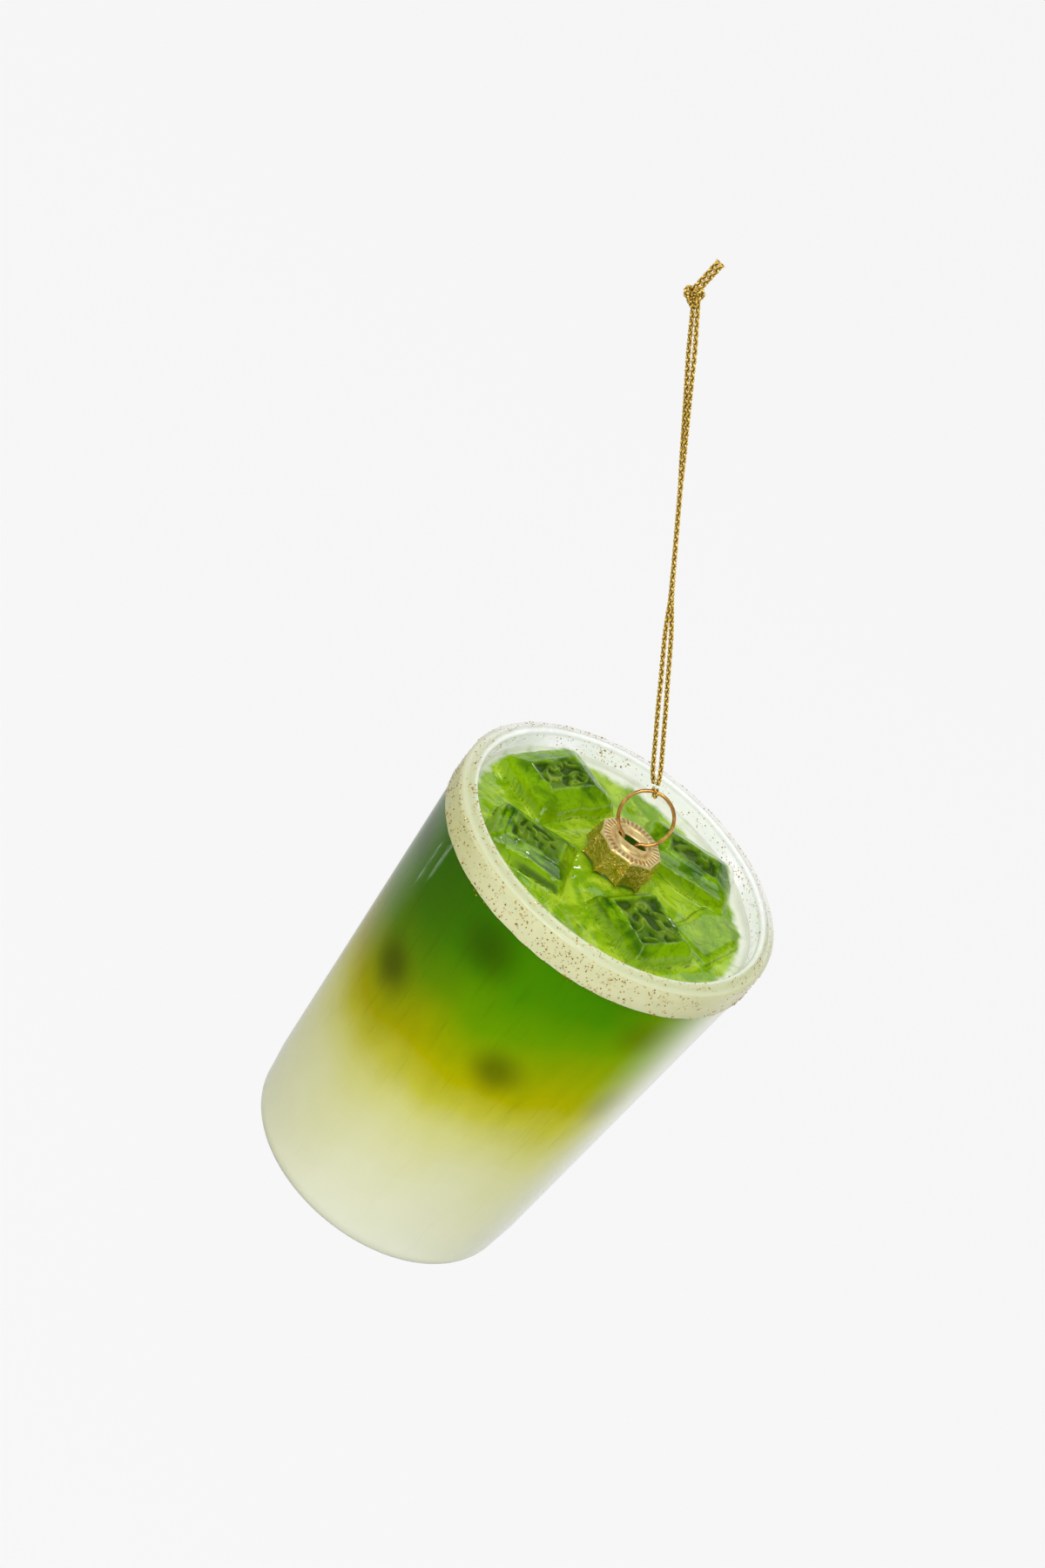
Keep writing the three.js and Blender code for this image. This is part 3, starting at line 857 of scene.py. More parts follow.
def carried(ahead: np.ndarray, seed: np.ndarray) -> np.ndarray:
    """Carry a side direction along a line without twist.

    Args:
        ahead: The line's direction at each point.
        seed: Roughly where the side points at the line's start.

    Returns:
        The side direction at each point, square to the line.
    """
    side, sides = seed, []
    for direction in ahead:
        side = side - direction * (side @ direction)
        side = side / np.linalg.norm(side)
        sides.append(side)
    return np.array(sides)


class Line:
    """A smooth line through points, with a frame at each of its samples."""

    def __init__(self, points: Sequence[Point], step: float) -> None:
        """Run a line through points.

        Args:
            points: The points that it passes through.
            step: Distance between its samples.
        """
        fine = self.smooth(np.array(points, float))
        gone = np.concatenate([[0], np.cumsum(np.linalg.norm(np.diff(fine, axis=0), axis=1))])
        count = max(3, int(round(gone[-1] / step)) + 1)
        self.run = np.linspace(0, gone[-1], count)
        self.points = np.stack([np.interp(self.run, gone, fine[:, k]) for k in range(3)], axis=1)
        self.length = float(gone[-1])
        ahead = headings(self.points)
        self.side = carried(ahead, X_AXIS if abs(ahead[0][1]) >= 0.9 else Y_AXIS)
        self.up = np.cross(ahead, self.side)

    @staticmethod
    def smooth(points: np.ndarray, cuts: int = 24) -> np.ndarray:
        """Run a centripetal Catmull-Rom line.

        Args:
            points: The points that it passes through.
            cuts: Samples between one point and the next.

        Returns:
            The samples.
        """
        first, last = 2 * points[0] - points[1], 2 * points[-1] - points[-2]
        knots = np.concatenate([[first], points, [last]])
        out = []
        for a, b, c, d in zip(knots, knots[1:], knots[2:], knots[3:]):
            t1 = math.sqrt(np.linalg.norm(b - a))
            t2 = t1 + math.sqrt(np.linalg.norm(c - b))
            t3 = t2 + math.sqrt(np.linalg.norm(d - c))
            t = np.linspace(t1, t2, cuts, endpoint=False)[:, None]
            p = a * (t1 - t) / t1 + b * t / t1
            q = b * (t2 - t) / (t2 - t1) + c * (t - t1) / (t2 - t1)
            r = c * (t3 - t) / (t3 - t2) + d * (t - t2) / (t3 - t2)
            u = p * (t2 - t) / t2 + q * t / t2
            v = q * (t3 - t) / (t3 - t1) + r * (t - t1) / (t3 - t1)
            out.append(u * (t2 - t) / (t2 - t1) + v * (t - t1) / (t2 - t1))
        return np.concatenate(out + [points[-1:]])

    def at(self, side: np.ndarray, up: np.ndarray) -> np.ndarray:
        """Give points set off from the line along its frame."""
        return self.points + self.side * side[:, None] + self.up * up[:, None]


def skin(line: np.ndarray, radius: np.ndarray, sides: int) -> tuple[np.ndarray, np.ndarray]:
    """Wrap a tube round a line of points.

    Args:
        line: Points down the tube's middle.
        radius: Radius at each point.
        sides: Sides of the section.

    Returns:
        Points, ring after ring, and the quads between the rings; both ends are left open.
    """
    ahead = headings(line)
    side = carried(ahead, X_AXIS if abs(ahead[0][0]) < 0.8 else Y_AXIS)
    up = np.cross(ahead, side)
    step = np.arange(sides)
    turn = step * 2 * np.pi / sides
    ring = (side[:, None, :] * np.cos(turn)[None, :, None]
            + up[:, None, :] * np.sin(turn)[None, :, None])
    places = (line[:, None, :] + ring * radius[:, None, None]).reshape(-1, 3)
    rows = np.arange(len(line) - 1)[:, None] * sides
    a = rows + step[None, :]
    b = rows + (step[None, :] + 1) % sides
    quads = np.stack([a, b, b + sides, a + sides], axis=2).reshape(-1, 4)
    return places, quads


@dataclass(frozen=True)
class Braid:
    """A round braid of four yarns, two turning each way over and under the others."""

    radius: float = 0.4
    pitch: float = 3.2
    yarn: float = 0.42
    wave: float = 0.26
    frayed: float = 1.2
    pinch: float = 0.6
    sides: int = 8

    def yarns(self, line: Line, fray: float) -> list[tuple[np.ndarray, np.ndarray]]:
        """Run the four yarns along a line.

        Args:
            line: The cord's middle line.
            fray: How far the yarns spread at the line's far end, in radii.

        Returns:
            The middle line of each yarn and how far out it runs, as a share of the radius.
        """
        out = []
        turn = 2 * np.pi * line.run / self.pitch
        spread = 1 + fray * smoothstep(line.length - self.frayed, line.length, line.run)
        for index in range(4):
            way = 1 if index % 2 == 0 else -1
            angle = way * turn + index * np.pi / 2
            weave = way * self.radius * self.wave * np.cos(2 * turn + np.pi / 2)
            away = self.radius * (1 - self.yarn) + weave
            away = (away - self.radius * self.wave * 0.4) * spread
            out.append((line.at(away * np.cos(angle), away * np.sin(angle)), away / self.radius))
        return out

    def make(self, name: str, lines: Sequence[Line], fray: float = 0.0) -> bpy.types.Object:
        """Make the braid's mesh along one or more lines.

        Args:
            name: Name of the object.
            lines: Middle lines, each sampled finely enough for the pitch.
            fray: How far the far ends spread, in radii.

        Returns:
            The object, its yarns closed tubes, marked with the run along them and the way out.
        """
        places, faces, runs, outs, count = [], [], [], [], 0
        for line in lines:
            for yarn, out in self.yarns(line, fray):
                thick = np.full(len(yarn), self.radius * self.yarn)
                thick[[0, -1]] *= self.pinch
                points, quads = skin(yarn, thick, self.sides)
                ends = [list(range(self.sides))[::-1],
                        list(range(len(points) - self.sides, len(points)))]
                faces += [[i + count for i in face] for face in quads.tolist() + ends]
                places.append(points)
                runs.append(np.repeat(line.run, self.sides))
                outs.append(np.repeat(out, self.sides))
                count += len(points)
        piece = mesh_from(name, np.concatenate(places), faces)
        mark(piece, "run", np.concatenate(runs))
        mark(piece, "out", np.concatenate(outs))
        return piece


@dataclass(frozen=True)
class RingFrame:
    """Where the ring stands in the cap's slot and how the cord leaves it."""

    slot_level: float = 4.05
    tilt: float = 21.0
    shift: float = -0.4
    lift: float = 4.95
    radius: float = 5.0
    contact: float = 17.0
    lean: float = 30.6
    along: np.ndarray = field(init=False)
    side: np.ndarray = field(init=False)
    out: np.ndarray = field(init=False)
    up: np.ndarray = field(init=False)
    foot: np.ndarray = field(init=False)
    touch: np.ndarray = field(init=False)

    def __post_init__(self) -> None:
        """Work out the directions of the ring and of the cord."""
        tilt, contact, lean = (math.radians(a) for a in (self.tilt, self.contact, self.lean))
        up = np.array((0, math.sin(tilt), math.cos(tilt)))
        out = np.cross(X_AXIS, up)
        foot = np.array((self.shift, 0, self.slot_level))
        along = up * math.cos(lean) - X_AXIS * math.sin(lean)
        touch = foot + up * (self.lift + self.radius * math.cos(contact))
        touch = touch - X_AXIS * self.radius * math.sin(contact)
        values = {"along": along, "side": -np.cross(out, along), "out": out, "up": up,
                  "foot": foot, "touch": touch}
        for key, value in values.items():
            object.__setattr__(self, key, value)

    def ring(self, across: float, up: float, out: float) -> Point:
        """Give a point in the ring's plane."""
        return tuple(self.foot + X_AXIS * across + self.up * up + self.out * out)

    def cord(self, along: float, side: float, out: float) -> Point:
        """Give a point in the cord's frame."""
        return tuple(self.touch + self.along * along + self.side * side + self.out * out)


@dataclass
class HangingCord:
    """One length of braided metallic yarn: bight, two strands, knot and cut tails."""

    ring: RingFrame
    finish: bpy.types.Material
    tucked: tuple[Point, ...] = ((88.4, 0.36, 0.04),)
    diameter: float = 0.8
    braid: Braid = Braid(0.46)
    bight_braid: Braid = Braid(0.39, pitch=2.2)
    knot_braid: Braid = Braid(0.43, pitch=2.6)
    loop: float = 87.3
    wire: float = 0.35
    bight_clearance: float = 0.15
    bight_thick: float = 0.6
    bight_reach: float = 0.78
    bight_skew: float = 0.3
    knot_size: float = 3.8
    knot_side: float = -0.3
    knot_cord: float = 1.25
    knot_apart: float = 0.36
    knot_twist: float = 0.25
    tail_side: float = -1.0
    tail_length: float = 5.6
    tail_angle: float = 38.0
    tail_apart: float = 0.9
    tail_tucked: float = 0.2
    tail_fray: float = 0.35
    gap: float = 0.3
    step: float = 0.14
    bend_step: float = 0.1
    knot_step: float = 0.12
    path_step: float = 0.8
    route: tuple[Point, ...] = (
        (1.42, -0.36, -0.66), (2.3, -0.54, -0.44), (3.6, -0.68, -0.18), (6, -0.72, 0.02),
        (10, -0.70, 0.06), (15, -0.70, 0.06), (20, -0.62, 0.06), (25, -0.60, 0.08),
        (29, -0.54, 0.18), (32, -0.36, 0.34), (35, -0.12, 0.45), (39, -0.06, 0.46),
        (44, 0.00, 0.46), (50, 0.00, 0.46), (55, 0.03, 0.46), (60, 0.18, 0.42), (65, 0.28, 0.36),
        (70, 0.36, 0.28), (75, 0.46, 0.16), (79, 0.54, 0.06), (82, 0.52, 0.04), (85, 0.46, 0.06),
        (87.0, 0.44, 0.04),
    )

    def build(self) -> None:
        """Make every piece of the cord and work out each strand's middle line again."""
        knot = self.knot()
        tails = [self.tail("left", -1), self.tail("right", 1)]
        bight = self.bight()
        front = self.strand("front", 1)
        back = self.strand("back", -1)
        self.declare(1)
        self.declare(-1)

    def strand_line(self, mirror: int, step: float, ends: tuple[Point, ...] = ()) -> Line:
        """Give a strand's middle line; the twin's is turned half round the cord's line."""
        return Line([self.ring.cord(a, mirror * s, mirror * o) for a, s, o in self.route + ends], step)

    def strand(self, side: str, mirror: int) -> bpy.types.Object:
        """Make one strand between the bight and the knot."""
        piece = self.braid.make(f"braid_{side}", [self.strand_line(mirror, self.step, self.tucked)])
        return hand_over(piece, Body.CORD, [f"cord_strand_{side}"], self.finish, None)

    def declare(self, mirror: int) -> None:
        """Work out a strand's middle line at a coarse step; the line is not kept or used.

        Args:
            mirror: 1 for the front strand, -1 for its twin.
        """
        line = self.strand_line(mirror, self.path_step)

    def bight(self) -> bpy.types.Object:
        """Make the bend of the cord under the ring's wire.

        Returns:
            The object.
        """
        bend = self.wire + self.bight_clearance + self.bight_thick / 2
        turns = np.linspace(0, math.pi, 9)
        flat = [(self.bight_reach, bend), *((-bend * math.sin(t), bend * math.cos(t)) for t in turns),
                (self.bight_reach, -bend)]
        places = [self.ring.cord(along, self.bight_skew * out / bend, out) for along, out in flat]
        piece = self.bight_braid.make("braid_bight", [Line(places, self.bend_step)])
        return hand_over(piece, Body.BIGHT, ["cord_bight"], self.finish, None)

    def knot(self) -> bpy.types.Object:
        """Make the overhand knot of the doubled cord, two braids side by side.

        Returns:
            The object.
        """
        size = (self.knot_size - self.knot_cord) / 5
        middle = self.loop + self.knot_size / 2
        turns = np.linspace(0.3, 0.3 + 2 * math.pi, 40)
        core = Line([self.ring.cord(
            middle + size * (math.cos(t) - 2 * math.cos(2 * t)),
            self.knot_side + size * (math.sin(t) + 2 * math.sin(2 * t)),
            -1.6 * size * math.sin(3 * t)) for t in turns], self.knot_step)
        twist = core.run * self.knot_twist
        lines = []
        for apart in (-self.knot_apart, self.knot_apart):
            places = core.at(apart * np.cos(twist), apart * np.sin(twist))
            lines.append(Line([tuple(p) for p in places[::3]], self.knot_step))
        piece = self.knot_braid.make("knot_braid", lines)
        return hand_over(piece, Body.CORD, ["cord_knot"], self.finish, None)

    def tail(self, side: str, mirror: int) -> bpy.types.Object:
        """Make one cut end above the knot, a little frayed at its tip.

        Args:
            side: The side's name.
            mirror: -1 for the left end, 1 for the right one.

        Returns:
            The object.
        """
        angle = math.radians(self.tail_angle)
        start = self.knot_size / 2 + self.gap
        apart = mirror * self.tail_apart / 2
        points = []
        for share in np.linspace(-self.tail_tucked, 1, 7):
            reach = start + self.tail_length * share
            points.append(self.ring.cord(
                self.loop + self.knot_size / 2 + reach * math.cos(angle) - apart * math.sin(angle),
                self.tail_side + reach * math.sin(angle) + apart * math.cos(angle), 0))
        piece = self.braid.make(f"tail_{side}", [Line(points, self.step)], self.tail_fray)
        return hand_over(piece, Body.CORD, [f"cord_tail_{side}"], self.finish, None)


@dataclass
class WireHanger:
    """One wire bent to a ring, its ends crossed under the slot and spread in the neck."""

    ring: RingFrame
    finish: bpy.types.Material
    wire: float = 0.35
    opening: float = 23.0
    crossing: float = 2.2
    depth: float = 10.4
    spread: float = 2.8
    gap: float = 0.3
    ring_points: int = 33
    step: float = 0.25

    def points(self) -> list[Point]:
        """List the wire's route: leg, crossing, ring, crossing, leg.

        Returns:
            The route's points.
        """
        offset = self.wire + self.gap / 2
        leave = self.ring.radius * math.sin(math.radians(self.opening))
        leg = [(self.spread, -self.depth, offset), (self.spread * 0.83, -self.depth * 0.8, offset),
               (self.spread * 0.56, -self.depth * 0.55, offset),
               (self.spread * 0.28, -self.depth * 0.36, offset), (0, -self.crossing, offset),
               (-leave * 0.5, -self.crossing * 0.6, offset * 0.6), (-leave * 0.8, 0, 0)]
        route = [self.ring.ring(*p) for p in leg]
        for share in np.linspace(0, 1, self.ring_points):
            turn = math.radians(180 + self.opening + (360 - 2 * self.opening) * share)
            route.append(self.ring.ring(self.ring.radius * math.sin(turn),
                                        self.ring.lift + self.ring.radius * math.cos(turn), 0))
        return route + [self.ring.ring(-a, u, -o) for a, u, o in reversed(leg)]

    def build(self) -> None:
        """Draw the wire as a curve with a round section and make it a mesh."""
        line = Line(self.points(), self.step)
        drawn = bpy.data.curves.new("ring_wire", "CURVE")
        drawn.dimensions = "3D"
        drawn.bevel_depth = self.wire
        drawn.bevel_resolution = 4
        drawn.use_fill_caps = True
        spline = drawn.splines.new("POLY")
        spline.points.add(len(line.points) - 1)
        for point, place in zip(spline.points, line.points):
            point.co = (*place, 1)
        piece = bpy.data.objects.new("ring_wire", drawn)
        bpy.context.scene.collection.objects.link(piece)
        Bench.pick(piece)
        bpy.ops.object.convert(target="MESH")
        hand_over(bpy.context.object, Body.HANGER, ["wire_hanger"], self.finish, 50)


@dataclass
class CrownCap:
    """Stamped sheet cap: slotted raised disc, groove, fine ribs and a crimped skirt."""

    finish: bpy.types.Material
    top: float = 4.0
    sheet: float = 0.3
    skirt_radius: float = 5.95
    skirt_height: float = 5.3
    skirt_flare: float = 0.15
    crimps: int = 9
    crimp_top: float = 0.45
    crimp_bottom: float = 1.1
    crimp_phase: float = 5.0
    crimp_dip: float = 0.3
    edge: float = 0.3
    disc: float = 3.4
    rise: float = 0.2
    groove: float = 0.2
    groove_width: float = 0.6
    ribs: int = 36
    rib_height: float = 0.1
    dents: tuple[float, float] = (0.09, 0.035)
    ragged: float = 0.16
    slot_half: tuple[float, float] = (3.0, 1.16)
    steps: int = 360

    def rows(self) -> list[tuple[float, float, float, float, float]]:
        """List the sheet's rows from the slot's lip down to the skirt's edge.

        Returns:
            Half sizes along X and Y, height, crimp and share of the ribs of each row.
        """
        top, disc, flat = self.top, self.disc, self.skirt_radius - self.edge
        long, wide = self.slot_half
        level = top + self.rise
        outer = disc + self.groove_width
        middle = [(long, wide, level - 0.3), (long, wide, level - 0.12),
                  (long + 0.05, wide + 0.1, level - 0.02), (long + 0.1, wide + 0.25, level + 0.01),
                  (long + 0.14, wide + 0.7, level), (long + 0.16, 2.3, level), (disc - 0.22, 2.9, level)]
        for radius, height in ((disc - 0.18, level), (disc - 0.08, level - 0.03), (disc, level - 0.14),
                               (disc + 0.08, top - 0.06)):
            middle.append((radius, radius, height))
        for share in (0.35, 0.5, 0.65, 0.85, 1.0):
            radius = disc + self.groove_width * share
            middle.append((radius, radius, top - self.groove * math.sin(math.pi * share)))
        rows = [(*row, 0, 0) for row in middle]
        for share in np.linspace(0.1, 1, 8):
            radius = outer + (flat - outer) * share
            rib = math.sin(math.pi * (share * 0.72)) ** 0.6
            rows.append((radius, radius, top, self.crimp_top / 2 * share, rib))
        for turn in (25, 50, 75):
            angle = math.radians(turn)
            radius = flat + self.edge * math.sin(angle)
            height = top - self.edge * (1 - math.cos(angle))
            rows.append((radius, radius, height, self.crimp_top * (0.5 + turn / 180), 0.5))
        for share in np.linspace(0.06, 1, 18):
            radius = self.skirt_radius + self.skirt_flare * share
            crimp = self.crimp_top + (self.crimp_bottom - self.crimp_top) * share
            rows.append((radius, radius, top - self.skirt_height * share, crimp, 0))
        return rows

    def build(self) -> None:
        """Spin the sheet's profile, press the crimps, ribs and slot into it and thicken it."""
        rows = self.rows()
        profile = [(max(row[1], 0.5), row[2]) for row in rows]
        piece = Bench.spin_up("crown_cap", profile, self.steps)
        place = points_of(piece)
        radius, angle = np.hypot(place[:, 0], place[:, 1]), np.arctan2(place[:, 1], place[:, 0])
        keys = np.array(profile)
        nearest = np.argmin((radius[:, None] - keys[None, :, 0]) ** 2
                            + (place[:, 2][:, None] - keys[None, :, 1]) ** 2, axis=1)
        half_x, half_y, height, crimp, rib = np.array(rows)[nearest].T
        flat = math.pi / self.crimps
        turned = (angle - math.radians(self.crimp_phase)) % (2 * flat) - flat
        crest = ((1 / np.cos(turned) - 1) / (1 / math.cos(flat) - 1)) ** 1.15
        down = np.clip((self.top - height) / self.skirt_height, 0, 1)
        around = angle * 6.2 + 40
        dent = Ripple(5, 1.3).at(around, place[:, 2] + 20) * self.dents[0]
        dent += Ripple(9, 0.5).at(around, place[:, 2] + 20) * self.dents[1]
        push = crimp * crest + dent * smoothstep(0.03, 0.25, down)
        ribs = np.clip(np.cos(self.ribs * angle), 0, 1) ** 0.8 * rib * self.rib_height
        place[:, 0] = (half_x + push) * np.cos(angle)
        place[:, 1] = (half_y + push) * np.sin(angle)
        ragged = Ripple(3, 0.9).at(around, angle * 0) * self.ragged
        place[:, 2] = height + ribs - (self.crimp_dip * crest + ragged) * down ** 3
        move_points(piece, place)
        # The fold mark is painted shade: the furrows between ribs and the groove round the raised disc.
        furrow = np.clip(1 - ribs / (rib * self.rib_height + 1e-6), 0, 1) ** 4 * (rib > 0.75)
        outline = np.exp(-((radius - self.disc - 0.12) / 0.09) ** 2) * (rib == 0) * (down < 0.1)
        mark(piece, "fold", np.maximum(furrow, outline))
        Bench.apply(piece, "SOLIDIFY", thickness=self.sheet * 0.8, offset=-1.0)
        hand_over(piece, Body.CAP, ["cap"], self.finish, 50)


@dataclass(frozen=True)
class IceCube:
    """A moulded cube: middle, turn, top face, height of the top and run of its sides."""

    x: float
    y: float
    turn: float
    length: float
    width: float
    crown: float
    slope: float
    streaks: float = 0.2
    pitted: float = 1.0

    def outside(self, x: np.ndarray, y: np.ndarray) -> tuple[np.ndarray, np.ndarray, np.ndarray]:
        """Measure how far points lie outside the top face.

        Args:
            x: First coordinates.
            y: Second coordinates.

        Returns:
            The distance, below 0 inside the face, and its parts along and across the cube.
        """
        turn = math.radians(self.turn)
        u = (x - self.x) * math.cos(turn) + (y - self.y) * math.sin(turn)
        v = (y - self.y) * math.cos(turn) - (x - self.x) * math.sin(turn)
        along, across = np.abs(u) - self.length / 2, np.abs(v) - self.width / 2
        away = (np.maximum(along, 0) ** 5 + np.maximum(across, 0) ** 5) ** 0.2
        return np.where(np.maximum(along, across) > 0, away, np.maximum(along, across)), along, across


@dataclass(frozen=True)
class Relief:
    """The drink's moulded surface: a soft collar, cubes with pitted tops, and swirls between."""

    deck_drop: float = 4.3
    collar_drop: float = 2.0
    collar_reach: float = 10.0
    neck: float = 5.35
    well: float = 29.8
    fillet: float = 1.2
    cap_keep: float = 7.4
    cap_room: float = -1.95
    milky: float = 27.6
    pit_depth: float = 0.36
    ridge_rise: float = 0.14
    rim_rise: float = 0.1
    mitre_rise: float = 0.04
    groove_depth: float = 0.12
    warp: float = 0.14
    weld: float = 0.22
    side_curve: tuple[tuple[float, ...], ...] = (
        (-1, -0.06, 0.08, 0.72, 0.86, 1.0, 1.6), (0, 0, 0.06, 0.36, 0.64, 1.0, 2.6))
    cubes: tuple[IceCube, ...] = (
        IceCube(-15.7, 13.2, 56, 12.5, 7.5, -0.5, 4.5), IceCube(-14.8, -9.4, 2, 11, 7.8, -0.5, 3.2, 0.9),
        IceCube(9.8, -11.3, -38, 11.6, 11.6, -0.4, 2.4, 0.7), IceCube(12.6, 15.4, 4, 11, 6, -0.5, 4.5),
        IceCube(21.6, 1.7, 69, 13, 7, -3.75, 1.5, 0.2, 0.0),
    )

    def ground(self, radius: np.ndarray) -> np.ndarray:
        """Give the drink's level, without its cubes.

        Args:
            radius: Distances from the tumbler's axis.

        Returns:
            The heights.
        """
        level = -self.collar_drop - (self.deck_drop - self.collar_drop) * smoothstep(
            0, 1, (radius - self.neck) / self.collar_reach)
        climb = np.clip(radius - (self.well - self.fillet), 0, self.fillet)
        return level + self.fillet - np.sqrt(self.fillet ** 2 - climb ** 2)

    @staticmethod
    def pits(x: np.ndarray, y: np.ndarray, size: float, seed: int) -> np.ndarray:
        """Scatter round pits.

        Args:
            x: First coordinates.
            y: Second coordinates.
            size: Distance from one pit to the next.
            seed: Seed of the pits' places and sizes.

        Returns:
            How deep each point lies in a pit, from 0 to 1.
        """
        dice = np.random.default_rng(seed).uniform(0.12, 0.88, (40, 40, 3))
        i, j = np.floor(x / size).astype(int), np.floor(y / size).astype(int)
        deep = np.zeros_like(x)
        for a in (-1, 0, 1):
            for b in (-1, 0, 1):
                die = dice[(i + a) % 40, (j + b) % 40]
                away = np.hypot((i + a + die[:, 0]) * size - x, ((j + b + die[:, 1]) * size - y) * 1.25)
                deep = np.maximum(deep, smoothstep(0, 1, 1 - away / (size * (0.28 + 0.34 * die[:, 2]))))
        return deep

    def cube_face(self, index: int, x: np.ndarray, y: np.ndarray) -> tuple[np.ndarray, Marks, np.ndarray]:
        """Mould one cube, with its pitted top and the streaks down its sides.

        Args:
            index: The cube's place in the list, which also seeds its wrinkles.
            x: First coordinates.
            y: Second coordinates.

        Returns:
            Its height, its marks, and how far down its sides each point lies.
        """
        def ripple(seed: int, size: float, dx: float = 50, dy: float = 50) -> np.ndarray:
            """Give this cube's own noise at the points, set off by two shifts."""
            return Ripple(seed + index, size).at(x + dx, y + dy)

        cube = self.cubes[index]
        away, along, across = cube.outside(x, y)
        wavy = away + 0.18 * ripple(20, 2.0)
        drop = np.interp(wavy / cube.slope, *self.side_curve)
        top = smoothstep(0.0, 1.3, -away) * cube.pitted
        share = np.clip(away / cube.slope, 0, 1)
        side = smoothstep(0.05, 0.3, away) * smoothstep(cube.slope + 0.4, cube.slope - 0.1, away)
        bend = 2.2 * Ripple(31 + index, 3.4).at(y + 70, x + 50), 2.2 * ripple(31, 3.4, 50, 90)
        swirl = Ripple(41 + index, 2.1).at(x + 50 + bend[0], y + 50 + bend[1])
        pit = np.maximum(smoothstep(0.1, 0.6, swirl), self.pits(x + 60, y + 60, 2.9, 40 + index)) * top
        ridge = np.exp(-((swirl + 0.12 - 0.1 * ripple(71, 0.9)) / 0.13) ** 2)
        ridge *= top * (1 - smoothstep(0.2, 0.6, pit))
        groove = 0.5 + 0.5 * np.sin(2 * np.pi * (away + 0.3 * ripple(60, 3.4)) / 1.3)
        groove *= cube.streaks * smoothstep(-0.5, 0.3, ripple(66, 8.0))
        mitre = np.exp(-((along - across) / 0.4) ** 2) * (along > 0.1) * (across > 0.1)
        rim = np.exp(-((away + 0.15) / 0.28) ** 2) * (0.2 + 0.8 * cube.pitted)
        level = cube.crown - (self.deck_drop + cube.crown) * drop + self.rim_rise * rim
        level = level - self.pit_depth * pit + self.ridge_rise * ridge - self.groove_depth * side * groove
        level += self.mitre_rise * side * mitre + self.warp * side * ripple(50, 3.2)
        marks = {"rough_top": top, "pit": pit, "ridge": ridge,
                 "crest": np.maximum(rim * 0.55, mitre * side * 0.2),
                 "streak": side * groove, "gleam": side * share ** 1.5}
        return level, marks, share

    def shape(self, x: np.ndarray, y: np.ndarray) -> Marks:
        """Work out the whole surface.

        Args:
            x: First coordinates.
            y: Second coordinates.

        Returns:
            The height and the marks that the paint reads.
        """
        radius, azimuth = np.hypot(x, y), np.degrees(np.arctan2(y, x))
        ground = self.ground(radius) + 0.12 * Ripple(2, 5).at(x + 50, y + 50)
        height = ground + 0.1 * Ripple(14, 2.6).at(x + 60 + 1.5 * np.sin(y / 3), y + 60)
        marks: Marks = {}
        for index in range(len(self.cubes)):
            level, found, share = self.cube_face(index, x, y)
            lift = smoothstep(-0.3, 0.3, level - height)
            # foot marks the crease at each cube's foot, which the paint darkens as painted shade.
            foot = np.exp(-((level - height - 0.15) / 0.22) ** 2) * smoothstep(0.2, 0.6, share)
            height = 0.5 * (height + level + np.sqrt((height - level) ** 2 + self.weld ** 2)) - 0.02
            for key, value in found.items():
                marks[key] = marks.get(key, 0.0) * (1 - lift) + value * lift
            marks["crease"] = np.maximum(marks.get("crease", 0.0) * (1 - lift), foot)
        height = np.minimum(height, self.cap_room + 1.3 * np.maximum(radius - self.cap_keep, 0))
        marks["low"] = smoothstep(0.9, 0.15, height - ground)
        milky_from = self.milky - 0.6 * np.cos(np.radians(azimuth - 45))
        marks["pale_edge"] = smoothstep(milky_from - 1.4, milky_from + 2.3, radius)
        return {"height": height, **marks}


